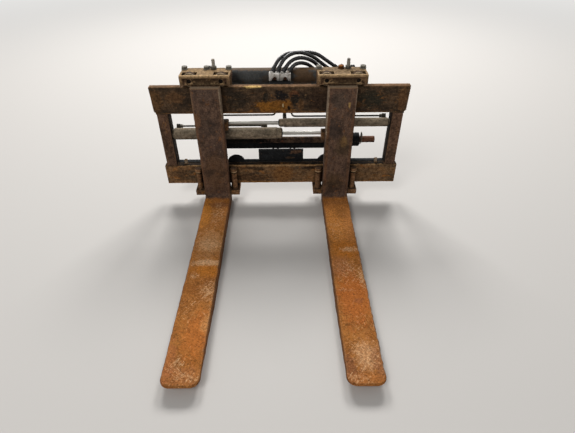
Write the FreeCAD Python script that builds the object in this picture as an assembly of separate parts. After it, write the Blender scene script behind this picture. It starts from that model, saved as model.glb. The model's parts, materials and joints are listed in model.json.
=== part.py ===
import FreeCAD, Part
import math
import os

# Hydraulic fork positioner carriage with two pallet forks, in millimetres.
# X runs across the carriage, Y runs back from the bars' front faces, and Z is up from the floor.
# Every solid is moved at the end so that the origin lies under the middle of the whole part.

# Carriage bars and posts
BAR_LENGTH = 1180.0
CARRIAGE_HEIGHT = 512.0
FLOOR_CLEARANCE = 96.0
UPPER_BAR_HEIGHT = 127.0
UPPER_BAR_THICKNESS = 30.0
UPPER_BAR_END_TAPER = 3.0
UPPER_BAR_CORNER = 12.0
LOWER_BAR_HEIGHT = 106.0
LOWER_BAR_THICKNESS = 33.0
BAR_EDGE_WEAR = 3.0
POST_WIDTH = 51.0
POST_DEPTH = 62.0
POST_INSET = 13.0
POST_LAP = 61.0
STOP_LUG_INWARD = 105.0
STOP_LUG_WIDTH = 14.0
STOP_LUG_HEIGHT = 22.0

# Black rear structure
RAIL_DEPTH = 30.0
RAIL_HEIGHT = 66.0
RAIL_WALL = 8.0
ARCH_OFFSET = 232.0
ARCH_RADIUS = 46.0
ARCH_RISE = 28.0
ARCH_THICKNESS = 12.0
CENTRE_PLATE_WIDTH = 226.0
CENTRE_PLATE_SHARE = 0.244
CENTRE_PLATE_THICKNESS = 14.0
EAR_OFFSET = 340.0
EAR_THICKNESS = 24.0
EAR_SPINE_GAP = 9.0
EAR_FOOT_HEIGHT = 52.0
EAR_WAIST = 44.0
TUBE_DIAMETER = 76.0
TUBE_WALL = 10.0
TUBE_LENGTH = 760.0
TUBE_BEHIND = 145.0
TUBE_RISE = -3.0
TUBE_RIM = 10.0
PIN_DIAMETER = 32.0
PIN_BEHIND = 90.0
PIN_SHARE = 0.3405
PIN_RIM = 18.0
PIN_PLAY = 0.3
BOSS_LENGTH = 46.0
PIN_TAIL = 80.0
PIN_HEAD = 10.0
CROSS_TUBE_SIZE = 30.0
CROSS_TUBE_WALL = 4.0
CROSS_TUBE_GAP = 3.0
CLIP_WIRE = 5.0
CLIP_RING = 13.0
CLIP_OUT = 10.0
CLIP_BEND = 9.0

# Pallet forks
FORK_WIDTH = 132.0
FORK_LENGTH = 1054.0
BLADE_THICKNESS = 50.0
SHANK_THICKNESS = 45.0
TIP_THICKNESS = 12.0
TIP_TAPER = 360.0
TIP_CORNER = 34.0
HEEL_RADIUS = 22.0
THROAT_RADIUS = 16.0
SHANK_CORNER = 5.0
BAR_CLEARANCE = 6.0
LEFT_FORK_INWARD = 260.0
RIGHT_FORK_INWARD = 312.0
FORK_OUTERMOST = 455.0

# Roller hangers
HANGER_WIDTH = 222.0
HANGER_RISE = 12.0
HANGER_HEIGHT = 44.0
HANGER_FRONT = 14.0
HANGER_TOP = 12.0
HANGER_POCKET = 4.0
HANGER_CHEEK = 14.0
HANGER_LIP = 11.0
HANGER_DEPTH = 110.0
ROLLER_DIAMETER = 60.0
ROLLER_WIDTH = 28.0
ROLLER_SPACING = 140.0
ROLLER_GAP = 0.3
ROLLER_WINDOW_GAP = 6.0
ROLLER_SIDE_GAP = 5.0
ROLLER_BORE_PLAY = 0.05
AXLE_DIAMETER = 19.0
AXLE_RECESS = 8.0
JAW_THICKNESS = 20.0
JAW_DROP = 46.0
JAW_LEDGE = 24.0
HANGER_BOLT_SPACING = 100.0
HANGER_BOLT_SIZE = 24.0
HANGER_BOLT_HEIGHT = 13.0
HANGER_BOLT_INSET = 17.0
STUD_DIAMETER = 16.0
STUD_HEIGHT = 44.0
STUD_OFFSET = 32.0

# Lower guides of each fork
GUIDE_OFFSET = 89.0
GUIDE_DIAMETER = 28.0
GUIDE_HEAD_DIAMETER = 34.0
GUIDE_HEAD_HEIGHT = 20.0
GUIDE_GAP = 0.3
FOOT_BOTTOM = 52.0
FOOT_GAP = 16.0
GUIDE_WIDTH = 224.0
HOOK_THICKNESS = 13.0
HOOK_RISE = 28.0

# Positioning cylinders: one above the other, the rods pointing opposite ways
UPPER_CYLINDER_DIAMETER = 42.0
LOWER_CYLINDER_DIAMETER = 56.0
LOWER_CYLINDER_SHARE = 0.5806
CYLINDER_GAP = 5.0
CYLINDER_BEHIND = 33.0
CYLINDER_WALL = 6.0
CYLINDER_PAST_MIDDLE = 5.0
GLAND_LENGTH = 22.0
GLAND_STEP = 2.0
CYLINDER_SEAT = 10.0
ROD_DIAMETER = 18.0
ROD_PLAY = 0.05
ROD_ENGAGED = 35.0
BRACKET_OFFSET = 80.0
BRACKET_THICKNESS = 30.0
BRACKET_RIM = 11.0
BRACKET_NUT = 28.0
BRACKET_NUT_HEIGHT = 12.0

# Hydraulic blocks, pipes, hoses and couplers
BLOCK_WIDTH = 49.0
BLOCK_GAP = 2.0
BLOCK_DEPTH = 36.0
BLOCK_HEIGHT = 33.0
BLOCK_BEHIND = 62.0
BLOCK_RISE = 2.0
BLOCK_ARCH = 12.0
SHELF_THICKNESS = 8.0
SHELF_REACH = 12.0
SHELF_WIDTH = 96.0
SHELF_DROP = 110.0
HOSE_DIAMETER = 17.0
FERRULE_DIAMETER = 19.0
FERRULE_LENGTH = 24.0
HOSE_PITCH = 24.0
PIPE_DIAMETER = 8.0
PIPE_BEND = 16.0
PORT_SIZE = 18.0
PIPE_OFF_MIDDLE = 4.0
RISER_GAP = 13.0
UPPER_LANE = 56.0
NEAR_LANE_RISE = 20.0
FAR_LANE_RISE = 38.0
OUTER_PIPE_SHARE = 1.7
PIPE_STANDOFF = 12.0
PORT_ANGLE = 41.0
PORT_FROM_POST = 26.0
LOWER_PORT_BESIDE_MIDDLE = 75.0
UPPER_PORT_BESIDE_MIDDLE = 20.0
COUPLER_PLATE_THICKNESS = 10.0
COUPLER_LENGTH = 46.0
COUPLER_DIAMETER = 20.0
COUPLER_COLLAR = 1.5
COUPLER_PITCH = 25.0
COUPLER_TILT = 35.0
COUPLER_STANDOFF = 19.0
COUPLER_PLATE_MARGIN = 24.0
COUPLER_ACROSS = 264.0
COUPLER_DROP = 20.0

# Heights and depths that several pieces share
LOWER_BAR_TOP = FLOOR_CLEARANCE + LOWER_BAR_HEIGHT
UPPER_BAR_TOP = FLOOR_CLEARANCE + CARRIAGE_HEIGHT
UPPER_BAR_BOTTOM = UPPER_BAR_TOP - UPPER_BAR_HEIGHT
OPENING = UPPER_BAR_BOTTOM - LOWER_BAR_TOP
HALF_BAR = BAR_LENGTH / 2
POST_OUTER = HALF_BAR - POST_INSET
POST_INNER = POST_OUTER - POST_WIDTH
LEFT_FORK_PLACE = LEFT_FORK_INWARD - HALF_BAR
RIGHT_FORK_PLACE = HALF_BAR - RIGHT_FORK_INWARD
LOWER_CYLINDER_HEIGHT = LOWER_BAR_TOP + OPENING * LOWER_CYLINDER_SHARE
LOWER_CYLINDER_TOP = LOWER_CYLINDER_HEIGHT + LOWER_CYLINDER_DIAMETER / 2
UPPER_CYLINDER_HEIGHT = LOWER_CYLINDER_TOP + CYLINDER_GAP + UPPER_CYLINDER_DIAMETER / 2
PIN_HEIGHT = LOWER_BAR_TOP + OPENING * PIN_SHARE
CENTRE_PLATE_HEIGHT = OPENING * CENTRE_PLATE_SHARE
RAIL_BACK = LOWER_BAR_THICKNESS + RAIL_DEPTH
SPINE_FRONT = RAIL_BACK + EAR_SPINE_GAP
TUBE_HEIGHT = UPPER_BAR_TOP + TUBE_RISE
TUBE_RADIUS = TUBE_DIAMETER / 2
EAR_INNER = EAR_OFFSET - EAR_THICKNESS / 2
EAR_OUTER = EAR_OFFSET + EAR_THICKNESS / 2
BOSS_END = EAR_OUTER + BOSS_LENGTH
SHANK_BACK = -BAR_CLEARANCE
SHANK_FRONT = SHANK_BACK - SHANK_THICKNESS
BLADE_TIP = SHANK_FRONT - FORK_LENGTH
HANGER_BOTTOM = UPPER_BAR_TOP + HANGER_RISE
HANGER_ROOF = HANGER_BOTTOM + HANGER_HEIGHT
HANGER_CEILING = HANGER_ROOF - HANGER_TOP
HANGER_FACE = SHANK_BACK - HANGER_FRONT
HANGER_BACK = HANGER_FACE + HANGER_DEPTH
AXLE_HEIGHT = UPPER_BAR_TOP + ROLLER_GAP + ROLLER_DIAMETER / 2
JAW_FRONT = UPPER_BAR_THICKNESS + BAR_CLEARANCE
COUPLER_BEHIND = TUBE_BEHIND + TUBE_RADIUS + COUPLER_STANDOFF
COUPLER_PLATE_BACK = COUPLER_BEHIND + COUPLER_PLATE_MARGIN
MIDDLE_Y = (BLADE_TIP + COUPLER_PLATE_BACK) / 2

os.makedirs("parts", exist_ok=True)


def vec(x, y, z):
    return FreeCAD.Vector(x, y, z)


def block(x0, x1, y0, y1, z0, z1):
    """A box between two corners."""
    return Part.makeBox(x1 - x0, y1 - y0, z1 - z0, vec(x0, y0, z0))


def rod_x(x0, x1, y, z, radius):
    """A cylinder lying across the carriage."""
    return Part.makeCylinder(radius, x1 - x0, vec(x0, y, z), vec(1, 0, 0))


def rod_y(x, y0, y1, z, radius):
    """A cylinder lying fore and aft."""
    return Part.makeCylinder(radius, y1 - y0, vec(x, y0, z), vec(0, 1, 0))


def rod_z(x, y, z0, z1, radius):
    """An upright cylinder."""
    return Part.makeCylinder(radius, z1 - z0, vec(x, y, z0))


def side_profile(points, x0, x1):
    """A plate cut to an outline of (y, z) points, from x0 to x1."""
    corners = [vec(x0, y, z) for y, z in points]
    face = Part.Face(Part.makePolygon(corners + corners[:1]))
    return face.extrude(vec(x1 - x0, 0, 0))


def front_profile(points, y0, y1):
    """A plate cut to an outline of (x, z) points, from y0 to y1."""
    corners = [vec(x, y0, z) for x, z in points]
    face = Part.Face(Part.makePolygon(corners + corners[:1]))
    return face.extrude(vec(0, y1 - y0, 0))


def hexagon(centre, across_flats, height):
    """An upright hexagon prism, for bolt heads and nuts."""
    reach = across_flats / math.sqrt(3)
    turns = [math.radians(60 * k) for k in range(6)]
    corners = [centre + vec(reach * math.cos(t), reach * math.sin(t), 0) for t in turns]
    face = Part.Face(Part.makePolygon(corners + corners[:1]))
    return face.extrude(vec(0, 0, height))


def bent_round(points, diameter, radii):
    """A round bar along straight runs joined by tangent arcs, one radius for each inner point."""
    edges = []
    start = points[0]
    for k in range(1, len(points) - 1):
        into = (points[k] - points[k - 1]).normalize()
        out = (points[k + 1] - points[k]).normalize()
        half = math.acos(max(-1.0, min(1.0, into.dot(out)))) / 2
        cut = radii[k - 1] * math.tan(half)
        first = points[k] - into * cut
        last = points[k] + out * cut
        inward = (out - into).normalize()
        centre = points[k] + inward * (radii[k - 1] / math.cos(half))
        middle = centre - inward * radii[k - 1]
        edges.append(Part.LineSegment(start, first).toShape())
        edges.append(Part.Arc(first, middle, last).toShape())
        start = last
    edges.append(Part.LineSegment(start, points[-1]).toShape())
    path = Part.Wire(edges)
    ring = Part.Wire(Part.makeCircle(diameter / 2, points[0], points[1] - points[0]))
    return path.makePipeShell([ring], True, False)


def cord_radii(points):
    """The largest bend that the shorter neighbour run allows at each inner point."""
    radii = []
    for k in range(1, len(points) - 1):
        into = points[k] - points[k - 1]
        out = points[k + 1] - points[k]
        half = into.getAngle(out) / 2
        radii.append(0.45 * min(into.Length, out.Length) / math.tan(half))
    return radii


def save(name, shape):
    """Write one node, moved to the part's own origin."""
    placed = shape.copy()
    placed.translate(vec(0, -MIDDLE_Y, 0))
    placed.exportStep("parts/" + name + ".step")


def upper_bar():
    """The flat bar that the rollers run on, its ends slanted and its lower corners cut."""
    low = HALF_BAR - UPPER_BAR_END_TAPER
    outline = [
        (-HALF_BAR, UPPER_BAR_TOP),
        (HALF_BAR, UPPER_BAR_TOP),
        (low, UPPER_BAR_BOTTOM + UPPER_BAR_CORNER),
        (low - UPPER_BAR_CORNER, UPPER_BAR_BOTTOM),
        (UPPER_BAR_CORNER - low, UPPER_BAR_BOTTOM),
        (-low, UPPER_BAR_BOTTOM + UPPER_BAR_CORNER),
    ]
    bar = front_profile(outline, 0, UPPER_BAR_THICKNESS)
    edge = [e for e in bar.Edges
            if e.Length > BAR_LENGTH / 2 and abs(e.CenterOfMass.y) < 1 and abs(e.CenterOfMass.z - UPPER_BAR_TOP) < 1]
    return bar.makeChamfer(BAR_EDGE_WEAR, edge)


def lower_bar():
    """The lower flat bar, with a small stop lug near each end of its top edge."""
    bar = block(-HALF_BAR, HALF_BAR, 0, LOWER_BAR_THICKNESS, FLOOR_CLEARANCE, LOWER_BAR_TOP)
    edge = [e for e in bar.Edges
            if e.Length > BAR_LENGTH / 2 and e.CenterOfMass.y < 1 and e.CenterOfMass.z > LOWER_BAR_TOP - 1]
    bar = bar.makeChamfer(BAR_EDGE_WEAR, edge)
    for side in (-1, 1):
        x = side * (HALF_BAR - STOP_LUG_INWARD)
        lug = block(x - STOP_LUG_WIDTH / 2, x + STOP_LUG_WIDTH / 2,
                    LOWER_BAR_THICKNESS - STOP_LUG_WIDTH, LOWER_BAR_THICKNESS,
                    LOWER_BAR_TOP - 1, LOWER_BAR_TOP + STOP_LUG_HEIGHT)
        bar = bar.fuse(lug)
    return bar.removeSplitter()


def post(side):
    """An upright between the bars, with a tongue lapped behind the upper bar."""
    outline = [
        (0, LOWER_BAR_TOP),
        (POST_DEPTH, LOWER_BAR_TOP),
        (POST_DEPTH, UPPER_BAR_BOTTOM + POST_LAP),
        (UPPER_BAR_THICKNESS, UPPER_BAR_BOTTOM + POST_LAP),
        (UPPER_BAR_THICKNESS, UPPER_BAR_BOTTOM),
        (0, UPPER_BAR_BOTTOM),
    ]
    x0, x1 = sorted((side * POST_INNER, side * POST_OUTER))
    return side_profile(outline, x0, x1)


def rear_rail():
    """The black angle behind the lower bar, with two arched rest lugs on its top."""
    bottom = LOWER_BAR_TOP - RAIL_HEIGHT
    outline = [
        (LOWER_BAR_THICKNESS, LOWER_BAR_TOP),
        (LOWER_BAR_THICKNESS, LOWER_BAR_TOP - RAIL_WALL),
        (RAIL_BACK - RAIL_WALL, LOWER_BAR_TOP - RAIL_WALL),
        (RAIL_BACK - RAIL_WALL, bottom),
        (RAIL_BACK, bottom),
        (RAIL_BACK, LOWER_BAR_TOP),
    ]
    rail = side_profile(outline, -POST_OUTER, POST_OUTER)
    for side in (-1, 1):
        x = side * ARCH_OFFSET
        centre_z = LOWER_BAR_TOP + ARCH_RISE - ARCH_RADIUS
        arch = rod_y(x, RAIL_BACK - ARCH_THICKNESS, RAIL_BACK, centre_z, ARCH_RADIUS)
        below = block(x - ARCH_RADIUS, x + ARCH_RADIUS, 0, RAIL_BACK + 1,
                      centre_z - ARCH_RADIUS - 1, LOWER_BAR_TOP - RAIL_WALL / 2)
        rail = rail.fuse(arch.cut(below))
    return rail.removeSplitter()


def centre_plate():
    """The black plate that stands on the rail at the middle."""
    half = CENTRE_PLATE_WIDTH / 2
    return block(-half, half, LOWER_BAR_THICKNESS, LOWER_BAR_THICKNESS + CENTRE_PLATE_THICKNESS,
                 LOWER_BAR_TOP, LOWER_BAR_TOP + CENTRE_PLATE_HEIGHT)


def ear(side):
    """A side plate that carries the hook tube above and the lock pin below."""
    foot_low = UPPER_BAR_BOTTOM + RAIL_WALL
    foot_high = foot_low + EAR_FOOT_HEIGHT
    lower_end = LOWER_BAR_TOP - RAIL_HEIGHT
    pin_rim = PIN_DIAMETER / 2 + PIN_RIM
    tube_rim = TUBE_RADIUS + TUBE_RIM
    outline = [
        (RAIL_BACK, lower_end),
        (RAIL_BACK, PIN_HEIGHT + pin_rim / 2),
        (SPINE_FRONT, PIN_HEIGHT + pin_rim),
        (SPINE_FRONT, foot_low - EAR_SPINE_GAP * 2),
        (UPPER_BAR_THICKNESS, foot_low),
        (UPPER_BAR_THICKNESS, foot_high),
        (TUBE_BEHIND - tube_rim, foot_high),
        (TUBE_BEHIND - tube_rim, TUBE_HEIGHT),
        (TUBE_BEHIND + tube_rim, TUBE_HEIGHT),
        (TUBE_BEHIND, foot_high - EAR_FOOT_HEIGHT),
        (SPINE_FRONT + EAR_WAIST, foot_low - EAR_FOOT_HEIGHT),
        (SPINE_FRONT + EAR_WAIST, PIN_HEIGHT + pin_rim),
        (PIN_BEHIND + pin_rim, PIN_HEIGHT),
        (PIN_BEHIND + pin_rim - EAR_SPINE_GAP, PIN_HEIGHT - pin_rim * 2),
        (RAIL_BACK + EAR_WAIST / 2, lower_end),
    ]
    x0, x1 = sorted((side * EAR_INNER, side * EAR_OUTER))
    plate = side_profile(outline, x0, x1)
    plate = plate.fuse(rod_x(x0, x1, TUBE_BEHIND, TUBE_HEIGHT, tube_rim))
    boss_x0, boss_x1 = sorted((side * EAR_INNER, side * BOSS_END))
    plate = plate.fuse(rod_x(boss_x0, boss_x1, PIN_BEHIND, PIN_HEIGHT, pin_rim))
    plate = plate.cut(rod_x(x0 - 1, x1 + 1, TUBE_BEHIND, TUBE_HEIGHT, TUBE_RADIUS))
    hole = PIN_DIAMETER / 2 + PIN_PLAY
    plate = plate.cut(rod_x(boss_x0 - 1, boss_x1 + 1, PIN_BEHIND, PIN_HEIGHT, hole))
    return plate.removeSplitter()


def top_tube():
    """The round tube that the machine's hooks take."""
    half = TUBE_LENGTH / 2
    outer = rod_x(-half, half, TUBE_BEHIND, TUBE_HEIGHT, TUBE_RADIUS)
    return outer.cut(rod_x(-half - 1, half + 1, TUBE_BEHIND, TUBE_HEIGHT, TUBE_RADIUS - TUBE_WALL))


def cross_tube():
    """The square tube between the ears, just under and behind the lock pin."""
    top = PIN_HEIGHT - PIN_DIAMETER / 2 - CROSS_TUBE_GAP
    size, wall = CROSS_TUBE_SIZE, CROSS_TUBE_WALL
    outer = block(-EAR_INNER, EAR_INNER, PIN_BEHIND, PIN_BEHIND + size, top - size, top)
    inner = block(-EAR_INNER - 1, EAR_INNER + 1, PIN_BEHIND + wall, PIN_BEHIND + size - wall,
                  top - size + wall, top - wall)
    return outer.cut(inner)


def lock_pin():
    """The long lower pin, with a head at its left end and a tail for the clip."""
    pin = rod_x(-BOSS_END, BOSS_END + PIN_TAIL, PIN_BEHIND, PIN_HEIGHT, PIN_DIAMETER / 2)
    head = rod_x(-BOSS_END - PIN_HEAD, -BOSS_END, PIN_BEHIND, PIN_HEIGHT, PIN_DIAMETER / 2 + PIN_RIM / 2)
    hole = rod_z(BOSS_END + CLIP_OUT, PIN_BEHIND, PIN_HEIGHT - PIN_DIAMETER, PIN_HEIGHT + PIN_DIAMETER,
                 CLIP_WIRE / 2 + PIN_PLAY)
    return pin.fuse(head).cut(hole).removeSplitter()


def lock_clip():
    """The spring clip: a straight leg through the pin, a ring above it and a leg outside."""
    x = BOSS_END + CLIP_OUT
    radius = PIN_DIAMETER / 2
    top = PIN_HEIGHT + radius + CLIP_RING
    beside = PIN_BEHIND - radius - CLIP_WIRE
    points = [
        vec(x, PIN_BEHIND, PIN_HEIGHT - radius - CLIP_WIRE * 2),
        vec(x, PIN_BEHIND, top + CLIP_RING),
        vec(x, beside - CLIP_WIRE, top + CLIP_RING),
        vec(x, beside, PIN_HEIGHT - radius / 2),
    ]
    return bent_round(points, CLIP_WIRE, [CLIP_BEND] * 2)


def fork(centre):
    """An L-shaped pallet fork: flat blade, tapered underside, rounded tip and heel."""
    top = HANGER_BOTTOM
    outline = [
        (SHANK_BACK, 0),
        (BLADE_TIP + TIP_TAPER, 0),
        (BLADE_TIP, BLADE_THICKNESS - TIP_THICKNESS),
        (BLADE_TIP, BLADE_THICKNESS),
        (SHANK_FRONT, BLADE_THICKNESS),
        (SHANK_FRONT, top),
        (SHANK_BACK, top),
    ]
    half = FORK_WIDTH / 2
    bar = side_profile(outline, centre - half, centre + half)

    def at(edge, y, z):
        return abs(edge.CenterOfMass.y - y) < 1 and abs(edge.CenterOfMass.z - z) < 1

    bar = bar.makeFillet(HEEL_RADIUS, [e for e in bar.Edges if at(e, SHANK_BACK, 0)])
    bar = bar.makeFillet(THROAT_RADIUS, [e for e in bar.Edges if at(e, SHANK_FRONT, BLADE_THICKNESS)])
    middle = (BLADE_THICKNESS - TIP_THICKNESS / 2)
    corners = [e for e in bar.Edges
               if abs(e.Length - TIP_THICKNESS) < 1 and abs(e.CenterOfMass.z - middle) < 1]
    bar = bar.makeFillet(TIP_CORNER, corners)
    fronts = [e for e in bar.Edges
              if abs(e.CenterOfMass.y - SHANK_FRONT) < 1 and e.Length > (top - BLADE_THICKNESS) / 2]
    return bar.makeChamfer(SHANK_CORNER, fronts)


def roller_places(centre):
    return [centre - ROLLER_SPACING / 2, centre + ROLLER_SPACING / 2]


def hanger(centre):
    """Front flange with a shallow pocket and top plate in one angle, with a window over each roller."""
    half = HANGER_WIDTH / 2
    front = block(centre - half, centre + half, HANGER_FACE, SHANK_BACK, HANGER_BOTTOM, HANGER_ROOF)
    roof = block(centre - half, centre + half, HANGER_FACE, HANGER_BACK, HANGER_CEILING, HANGER_ROOF)
    angle = front.fuse(roof).removeSplitter()
    edge = [e for e in angle.Edges
            if e.Length > HANGER_WIDTH / 2 and abs(e.CenterOfMass.y - HANGER_FACE) < 1
            and abs(e.CenterOfMass.z - HANGER_ROOF) < 1]
    angle = angle.makeChamfer(BAR_EDGE_WEAR, edge)
    angle = angle.cut(block(centre - half + HANGER_CHEEK, centre + half - HANGER_CHEEK, HANGER_FACE - 1,
                            HANGER_FACE + HANGER_POCKET, HANGER_BOTTOM - 1, HANGER_ROOF - HANGER_LIP))
    bite = ROLLER_DIAMETER / 2
    rise = HANGER_CEILING - AXLE_HEIGHT
    window = math.sqrt(bite * bite - rise * rise) + ROLLER_WINDOW_GAP
    roller_front = (UPPER_BAR_THICKNESS - ROLLER_WIDTH) / 2
    for x in roller_places(centre):
        angle = angle.cut(block(x - window, x + window, roller_front - ROLLER_SIDE_GAP,
                                roller_front + ROLLER_WIDTH + ROLLER_SIDE_GAP,
                                HANGER_CEILING - 1, HANGER_ROOF + 1))
        angle = angle.cut(rod_y(x, HANGER_FACE - 1, SHANK_BACK + 1, AXLE_HEIGHT, AXLE_DIAMETER / 2))
    return angle


def jaw(centre):
    """The rear jaw, bolted under the top plate and hanging behind the bar."""
    back = JAW_FRONT + JAW_THICKNESS
    low = UPPER_BAR_TOP - JAW_DROP
    nose = JAW_THICKNESS / 3
    outline = [
        (JAW_FRONT, HANGER_CEILING),
        (JAW_FRONT, low + nose),
        (JAW_FRONT + nose, low),
        (back - nose, low),
        (back, low + nose),
        (back, HANGER_CEILING - JAW_LEDGE - nose),
        (HANGER_BACK, HANGER_CEILING - JAW_LEDGE + nose),
        (HANGER_BACK, HANGER_CEILING),
    ]
    half = HANGER_WIDTH / 2
    body = side_profile(outline, centre - half, centre + half)
    for x in roller_places(centre):
        body = body.cut(rod_y(x, JAW_FRONT - 1, HANGER_BACK, AXLE_HEIGHT, AXLE_DIAMETER / 2))
    return body


def hanger_bolts(centre):
    """Three hexagon heads along the rear edge of the top plate, and a threaded stud."""
    y = HANGER_BACK - HANGER_BOLT_INSET
    pieces = []
    for k in (-1, 0, 1):
        at = vec(centre + k * HANGER_BOLT_SPACING, y, HANGER_ROOF)
        pieces.append(hexagon(at, HANGER_BOLT_SIZE, HANGER_BOLT_HEIGHT))
    x = centre + STUD_OFFSET
    nut = hexagon(vec(x, y, HANGER_ROOF), HANGER_BOLT_SIZE, HANGER_BOLT_HEIGHT)
    pieces.append(nut.fuse(rod_z(x, y, HANGER_ROOF, HANGER_ROOF + STUD_HEIGHT, STUD_DIAMETER / 2)).removeSplitter())
    return Part.makeCompound(pieces)


def axles(centre):
    """The two roller axles, from the front flange to the rear jaw."""
    pieces = []
    for x in roller_places(centre):
        pieces.append(rod_y(x, HANGER_FACE + AXLE_RECESS, JAW_FRONT + JAW_THICKNESS, AXLE_HEIGHT, AXLE_DIAMETER / 2))
    return Part.makeCompound(pieces)


def roller(x):
    """A plain load roller that runs on top of the upper bar."""
    front = (UPPER_BAR_THICKNESS - ROLLER_WIDTH) / 2
    wheel = rod_y(x, front, front + ROLLER_WIDTH, AXLE_HEIGHT, ROLLER_DIAMETER / 2)
    return wheel.cut(rod_y(x, front - 1, front + ROLLER_WIDTH + 1, AXLE_HEIGHT,
                           AXLE_DIAMETER / 2 + ROLLER_BORE_PLAY))


def guides(centre):
    """On each side of the shank: a foot with a hook under and behind the lower bar, and a guide post."""
    foot_top = FLOOR_CLEARANCE - FOOT_GAP
    hook_front = LOWER_BAR_THICKNESS + BAR_CLEARANCE
    outline = [
        (SHANK_FRONT + SHANK_CORNER, FOOT_BOTTOM),
        (hook_front + HOOK_THICKNESS, FOOT_BOTTOM),
        (hook_front + HOOK_THICKNESS, FLOOR_CLEARANCE + HOOK_RISE),
        (hook_front, FLOOR_CLEARANCE + HOOK_RISE),
        (hook_front, foot_top),
        (SHANK_FRONT + SHANK_CORNER, foot_top),
    ]
    pieces = []
    post_y = -GUIDE_HEAD_DIAMETER / 2 - GUIDE_GAP
    head_low = LOWER_BAR_TOP - GUIDE_HEAD_HEIGHT - BAR_CLEARANCE
    for side in (-1, 1):
        x0, x1 = sorted((centre + side * FORK_WIDTH / 2, centre + side * GUIDE_WIDTH / 2))
        foot = side_profile(outline, x0, x1)
        x = centre + side * GUIDE_OFFSET
        stand = rod_z(x, post_y, foot_top - 1, head_low, GUIDE_DIAMETER / 2)
        head = rod_z(x, post_y, head_low, head_low + GUIDE_HEAD_HEIGHT, GUIDE_HEAD_DIAMETER / 2)
        pieces.append(foot.fuse([stand, head]).removeSplitter())
    return Part.makeCompound(pieces)


def barrel(side, height, diameter):
    """A cylinder barrel: its closed end seats on one post, its gland is just past the middle."""
    radius = diameter / 2
    closed = side * POST_INNER
    open_end = -side * CYLINDER_PAST_MIDDLE

    def along(a, b, r):
        x0, x1 = sorted((a, b))
        return rod_x(x0, x1, CYLINDER_BEHIND, height, r)

    body = along(closed - side * CYLINDER_SEAT, open_end + side * GLAND_LENGTH, radius)
    gland = along(open_end, open_end + side * GLAND_LENGTH, radius - GLAND_STEP)
    seat = along(closed, closed - side * CYLINDER_SEAT, radius - GLAND_STEP * 2)
    body = body.fuse([gland, seat]).removeSplitter()
    bore = along(open_end + side * GLAND_LENGTH, closed - side * CYLINDER_SEAT * 2, radius - CYLINDER_WALL)
    rod_hole = along(open_end - side, open_end + side * (GLAND_LENGTH + 1), ROD_DIAMETER / 2 + ROD_PLAY)
    return body.cut(bore).cut(rod_hole)


def piston_rod(side, fork_place, height):
    """A rod from its fork's bracket into its barrel, held in the gland even with the fork outermost."""
    bracket_face = fork_place + side * BRACKET_OFFSET
    nut_end = bracket_face - side * (BRACKET_THICKNESS + BRACKET_NUT_HEIGHT)
    travel_out = FORK_OUTERMOST - abs(fork_place)
    inside = side * (travel_out + ROD_ENGAGED - CYLINDER_PAST_MIDDLE)
    x0, x1 = sorted((nut_end, inside))
    return rod_x(x0, x1, CYLINDER_BEHIND, height, ROD_DIAMETER / 2)


def rod_bracket(side, fork_place, height):
    """A lug on the back of the shank that holds the rod, with its nut."""
    face = fork_place + side * BRACKET_OFFSET
    back = face - side * BRACKET_THICKNESS
    rim = ROD_DIAMETER / 2 + BRACKET_RIM
    x0, x1 = sorted((face, back))
    lug = block(x0, x1, SHANK_BACK, CYLINDER_BEHIND, height - rim, height + rim)
    lug = lug.fuse(rod_x(x0, x1, CYLINDER_BEHIND, height, rim)).removeSplitter()
    n0, n1 = sorted((back, back - side * BRACKET_NUT_HEIGHT))
    nut = hexagon(vec(0, 0, 0), BRACKET_NUT, BRACKET_NUT_HEIGHT)
    nut.rotate(vec(0, 0, 0), vec(0, 1, 0), 90)
    nut.translate(vec(n0, CYLINDER_BEHIND, height))
    hole = rod_x(min(x0, n0) - 1, max(x1, n1) + 1, CYLINDER_BEHIND, height, ROD_DIAMETER / 2)
    return lug.fuse(nut).removeSplitter().cut(hole)


HOSE_START = [-1.5 * HOSE_PITCH + k * HOSE_PITCH for k in range(4)]
STEEP_LEAN = vec(0.38, 0.68, 0.63).normalize()
FLAT_LEAN = vec(0.45, 0.77, 0.45).normalize()
LOW_LEAN = vec(0.50, 0.80, 0.33).normalize()
HOSES = [
    # lean of the hose tail, first run, last run, then the hand-laid points between them
    (STEEP_LEAN, 28.0, 88.0, [(8, 145, 695), (42, 168, 703), (82, 183, 700), (120, 201, 698), (163, 203, 694)]),
    (STEEP_LEAN, 28.0, 81.0, [(28, 135, 695), (60, 154, 707), (96, 169, 707), (131, 179, 694), (165, 189, 676)]),
    (FLAT_LEAN, 28.0, 55.0, [(58, 140, 680), (86, 157, 685), (116, 168, 681), (147, 173, 669), (172, 184, 650)]),
    (LOW_LEAN, 30.0, 45.0, [(82, 144, 664), (106, 162, 660), (131, 176, 650), (153, 186, 632), (172, 195, 610)]),
]
BLOCK_BOTTOM = UPPER_BAR_TOP + BLOCK_RISE
BLOCK_TOP = BLOCK_BOTTOM + BLOCK_HEIGHT
BLOCK_MIDDLE = BLOCK_BEHIND + BLOCK_DEPTH / 2


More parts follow.
